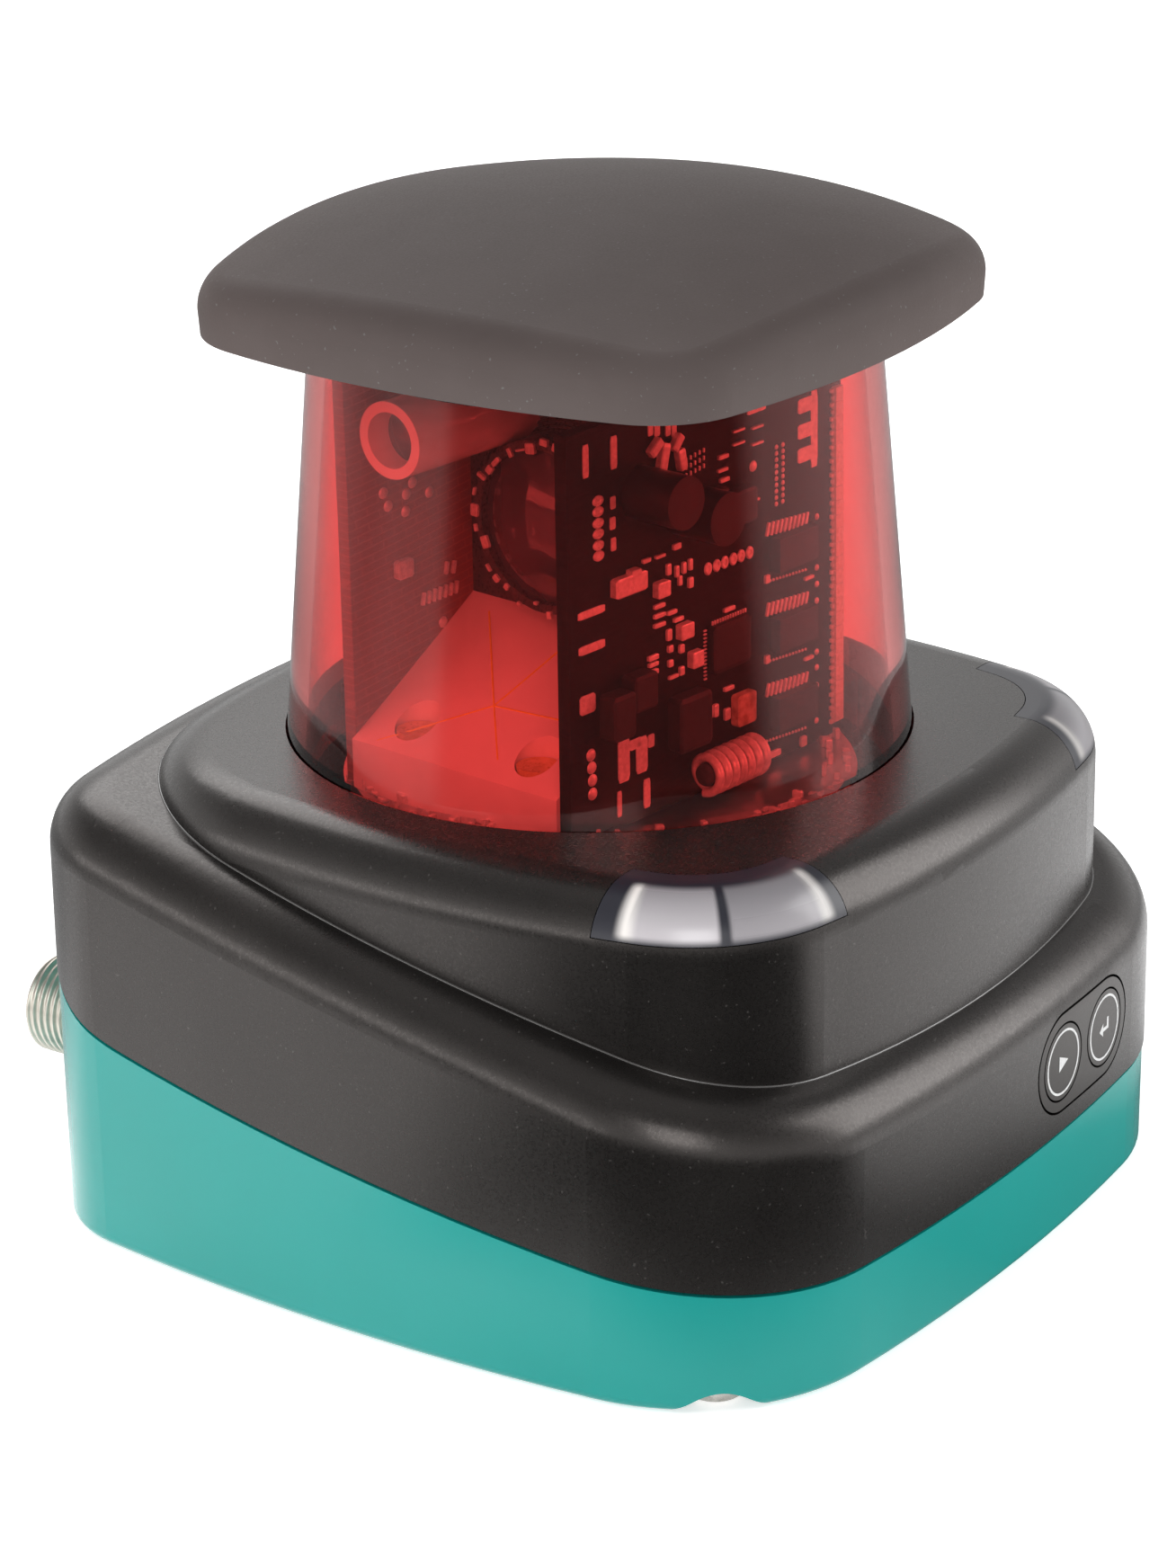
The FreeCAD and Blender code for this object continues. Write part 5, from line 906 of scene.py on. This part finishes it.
# Parts round the rotor's rim
rimSizes = dict(floor=51.0, inner=25.5, outer=28.6, count=150, shift=0.3, tall=(0.4, 1.5), wide=(0.5, 1.6),
                deep=(0.4, 1.0), turns=(0, 1.571), seed=7)
rim = SimpleNamespace(**rimSizes)
pick = random.Random(rim.seed)
rimRows = []
for number in range(rim.count):
    angle = 2 * math.pi * (number + pick.uniform(-rim.shift, rim.shift)) / rim.count
    reach = pick.uniform(rim.inner, rim.outer)
    tall = pick.uniform(*rim.tall)
    rimRows.append((onHead(reach * math.cos(angle), reach * math.sin(angle), rim.floor + tall / 2),
                    (pick.uniform(*rim.wide) * mm, pick.uniform(*rim.deep) * mm, tall * mm),
                    (0, 0, headTurn + angle + pick.choice(rim.turns))))
linkPiece("rimParts", scatter("rimParts", rimRows, block, "tinnedPad"), "scan_head", "contact_metal")
print("rim parts placed:", len(rimRows))

for unit in unitParts:
    bpy.data.objects.remove(unit)

# Crisp line where the upper tier stands on the shoulder
footSizes = dict(middle=(0.0, -0.9), steps=240, inner=30.0, outer=52.5, rise=0.12, thick=0.16,
                 front=(-60.0, 29.7), back=(60.0, 55.8), curve=1000.0, castFrom=80, halvings=24)
foot = SimpleNamespace(**footSizes)
chord = Vector((foot.back[0] - foot.front[0], foot.back[1] - foot.front[1]))
normal = Vector((-chord.y, chord.x)).normalized()
chordMiddle = (Vector(foot.front) + Vector(foot.back)) / 2
arcMiddle = chordMiddle - normal * math.sqrt(foot.curve ** 2 - (chord.length / 2) ** 2)
topSkins = [skinOf(name) for name in ("upper_housing", "left_lamp_window", "right_lamp_window")]


def shoulderAt(y):
    return arcMiddle.y + math.sqrt(foot.curve ** 2 - (y - arcMiddle.x) ** 2)


def topAt(x, y):
    above = Vector((x * mm, y * mm, foot.castFrom * mm))
    hits = [skin.ray_cast(above, Vector((0, 0, -1)))[0] for skin in topSkins]
    return max((hit.z / mm for hit in hits if hit), default=0.0)


# Halves its way out along one direction to where the tier ends
def footAt(angle):
    wayX, wayY = math.cos(angle), math.sin(angle)
    low, high = foot.inner, foot.outer / max(abs(wayX), abs(wayY))
    for _ in range(foot.halvings):
        half = (low + high) / 2
        x, y = foot.middle[0] + half * wayX, foot.middle[1] + half * wayY
        if topAt(x, y) - shoulderAt(y) > foot.rise:
            low = half
        else:
            high = half
    x, y = foot.middle[0] + high * wayX, foot.middle[1] + high * wayY
    return x * mm, y * mm, shoulderAt(y) * mm


footPoints = [footAt(2 * math.pi * step / foot.steps) for step in range(foot.steps)]
footBead = sweep("tierFoot", footPoints, ringEdges(foot.steps), foot.thick * mm, "shinyEdge")
linkPiece("tierFoot", footBead, "case", "housing_plastic")
print("tier foot line set")

# Floor, backdrop and light; the card's darkness goes by direction in degrees, and each zone fades in over a reach
stageLook = dict(floor=(0.80, 0.80, 0.80), floorRough=0.9, floorGlow=0.56, floorMirrored=0.75, floorBounce=0.34,
                 floorReach=6, floorDrop=0.0001, skyTop=(0.27, 0.27, 0.28), skyLow=(0.52, 0.52, 0.52),
                 gloss=[(0.0, 1.0), (0.15, 0.90), (0.36, 0.70), (0.6, 0.32), (1.0, 0.22)], glossLevel=1.15,
                 card=(0.02, 0.02, 0.02), cardHeight=0.0005, cardSteps=120, innerDark=0.74,
                 cardReach=(0.04, 0.07, 0.085, 0.10, 0.12, 0.15, 0.18, 0.22, 0.24, 0.32, 0.5, 1.0, 1.6),
                 nearDark=[(-180, 0.6), (-160, 0.6), (-145, 0), (-84, 0), (-66, 0.25), (-34, 0.45), (0, 0.9),
                           (54, 0.9), (66, 0.1), (78, 0.4), (100, 0.6), (180, 0.6)],
                 zones=[((0.072, 0.09), [(-180, 0.7), (-165, 0.6), (-150, 0), (-105, 0), (-92, 1), (-2, 1), (8, 0),
                                         (72, 0), (84, 0.6), (102, 0.75), (180, 0.75)]),
                        ((0.18, 0.22), [(-180, 0.8), (-165, 0.7), (-150, 0.6), (-117, 0.72), (-108, 1), (-2, 1),
                                        (8, 0.55), (72, 0.6), (84, 0.75), (102, 0.85), (180, 0.85)]),
                        ((0.24, 0.32), [(-180, 0.75), (-150, 0.75), (-138, 0.56), (-117, 0.52), (-110, 1), (-2, 1),
                                        (8, 0.44), (60, 0.46), (76, 0.68), (102, 0.75), (180, 0.75)])])


# One for a ray that has passed through the drum without being mirrored in it
def straightThrough(tree, rays):
    return times(tree, rays["Is Transmission Ray"], reckon(tree, "LESS_THAN", rays["Glossy Depth"], 0.5))


def stagePiece(name, bm, height, finish):
    mesh = bpy.data.meshes.new(name)
    bm.to_mesh(mesh)
    bm.free()
    mesh.materials.append(finish)
    piece = bpy.data.objects.new(name, mesh)
    scene.collection.objects.link(piece)
    piece.location.z = height
    return piece


def paleFloor():
    look = SimpleNamespace(**stageLook)
    finish, tree, shader = startFinish("paleFloor")
    feedAll(tree, shader, {"Base Color": look.floor, "Roughness": look.floorRough, "Specular IOR Level": 0.0})
    rays = put(tree, "ShaderNodeLightPath").outputs
    straight = straightThrough(tree, rays)
    shown = reckon(tree, "MAXIMUM", rays["Is Camera Ray"], straight)
    mirrored = reckon(tree, "MAXIMUM", reckon(tree, "SUBTRACT", rays["Is Glossy Ray"], straight), 0.0)
    glow = reckon(tree, "ADD", times(tree, shown, look.floorGlow), times(tree, mirrored, look.floorMirrored))
    glow = reckon(tree, "ADD", glow, times(tree, rays["Is Diffuse Ray"], look.floorBounce))
    emit = put(tree, "ShaderNodeEmission", {"Color": (1, 1, 1), "Strength": glow})
    both = put(tree, "ShaderNodeAddShader", {0: shader.outputs["BSDF"], 1: emit.outputs["Emission"]})
    show(tree, both.outputs["Shader"])
    bm = bmesh.new()
    bmesh.ops.create_grid(bm, x_segments=1, y_segments=1, size=look.floorReach)
    floor = stagePiece("floor", bm, cadBox[0].z - look.floorDrop, finish)


def between(points, where):
    for (low, first), (high, last) in zip(points, points[1:]):
        if where <= high:
            return first + (last - first) * (where - low) / (high - low)
    return points[-1][1]


# Soft dark card lying round the object, seen only in reflections: its darkness is a value at each corner
def darkCard():
    look = SimpleNamespace(**stageLook)
    bm = bmesh.new()
    dark = bm.verts.layers.float.new("dark")
    rows = []
    for reach in look.cardReach:
        rows.append([])
        for step in range(look.cardSteps):
            degrees = -180 + 360 / look.cardSteps * step
            angle = math.radians(degrees)
            vert = bm.verts.new((reach * math.sin(angle), -reach * math.cos(angle), 0))
            amount = between(look.nearDark, degrees)
            for (start, end), zone in look.zones:
                share = min(1.0, max(0.0, (reach - start) / (end - start)))
                amount = (1 - share) * amount + share * between(zone, degrees)
            vert[dark] = amount
            rows[-1].append(vert)
    for inner, outer in zip(rows, rows[1:]):
        for step, after in ringEdges(look.cardSteps):
            bm.faces.new((inner[step], inner[after], outer[after], outer[step]))
    finish, tree, shader = startFinish("darkCard")
    feedAll(tree, shader, {"Base Color": look.card, "Roughness": 1.0})
    rays = put(tree, "ShaderNodeLightPath").outputs
    inside = fade(tree, rays["Is Transmission Ray"], 0.0, 1.0, 1.0, look.innerDark)
    turned = times(tree, reckon(tree, "MINIMUM", rays["Glossy Depth"], 1.0), inside)
    amount = put(tree, "ShaderNodeAttribute", attribute_name="dark").outputs["Fac"]
    clear = put(tree, "ShaderNodeBsdfTransparent")
    show(tree, either(tree, times(tree, amount, turned), clear.outputs["BSDF"], shader.outputs["BSDF"]))
    card = stagePiece("darkCard", bm, look.cardHeight, finish)
    card.visible_camera = card.visible_diffuse = card.visible_shadow = False


# White to the camera, grey light on the object, and a sky that darkens upward in mirrored rays
def studioWorld():
    look = SimpleNamespace(**stageLook)
    world = bpy.data.worlds.new("studio")
    scene.world = world
    world.use_nodes = True
    tree = world.node_tree
    tree.nodes.clear()

    def glow(colour, strength):
        return put(tree, "ShaderNodeBackground", {"Color": colour, "Strength": strength}).outputs["Background"]

    rays = put(tree, "ShaderNodeLightPath").outputs
    height = axesOf(tree, put(tree, "ShaderNodeTexCoord").outputs["Generated"])["Z"]
    level = put(tree, "ShaderNodeValToRGB", {"Fac": height})
    while len(level.color_ramp.elements) < len(look.gloss):
        level.color_ramp.elements.new(0.5)
    for element, (position, grey) in zip(level.color_ramp.elements, look.gloss):
        element.position = position
        element.color = (grey, grey, grey, 1)
    soft = glow(colourBetween(tree, height, look.skyLow, look.skyTop, 0.0, 0.9), 1.0)
    plain = either(tree, rays["Is Glossy Ray"], soft, glow(level.outputs["Color"], look.glossLevel))
    through = reckon(tree, "MAXIMUM", rays["Is Camera Ray"], straightThrough(tree, rays))
    put(tree, "ShaderNodeOutputWorld", {"Surface": either(tree, through, plain, glow((1, 1, 1), 1.0))})


lamps = dict(
    top=dict(place=(-0.05, 0.05, 0.95), size=(0.9, 0.9), power=0.5),
    left=dict(place=(-0.86, 0.54, 0.12), size=(1.1, 0.14), power=1.4, lights=False),
    fill=dict(place=(-0.60, 0.40, 0.72), size=(0.8, 0.8), power=5.4, mirrored=False),
    right=dict(place=(0.62, -0.70, 0.45), size=(0.6, 0.8), power=5.8),
    back=dict(place=(0.46, 0.58, 0.80), size=(0.7, 0.7), power=4.6),
    front=dict(place=(-0.86, -0.60, 0.52), size=(0.5, 0.5), power=3.4))
lampTarget = Vector((0, 0, 0.055))


def softbox(name, look):
    data = bpy.data.lights.new(name, "AREA")
    data.shape = "RECTANGLE"
    data.size, data.size_y = look["size"]
    data.energy = look["power"]
    lamp = bpy.data.objects.new(name, data)
    scene.collection.objects.link(lamp)
    lamp.location = look["place"]
    lamp.visible_glossy = look.get("mirrored", True)
    lamp.visible_diffuse = look.get("lights", True)
    lamp.rotation_mode = "QUATERNION"
    lamp.rotation_quaternion = (lampTarget - lamp.location).to_track_quat("-Z", "Y")


paleFloor()
darkCard()
studioWorld()
for name, look in lamps.items():
    softbox(name + "Softbox", look)

# Camera at the photograph's angle
cameraLook = dict(place=(-0.428352, -0.288564, 0.250097), right=(0.559889, -0.828463, -0.013149),
                  up=(0.308643, 0.193806, 0.931224), forward=(0.768937, 0.525441, -0.364209), lens=110.67,
                  sensor=36, nearest=0.01, farthest=50)
cameraData = bpy.data.cameras.new("photoCamera")
cameraData.sensor_width = cameraLook["sensor"]
cameraData.lens = cameraLook["lens"]
cameraData.clip_start, cameraData.clip_end = cameraLook["nearest"], cameraLook["farthest"]
camera = bpy.data.objects.new("photoCamera", cameraData)
scene.collection.objects.link(camera)
axes = Matrix((cameraLook["right"], cameraLook["up"], -Vector(cameraLook["forward"]))).transposed()
camera.matrix_world = Matrix.Translation(cameraLook["place"]) @ axes.to_4x4()
scene.camera = camera
scene.view_settings.view_transform = "Standard"
print("stage, lamps and camera set")
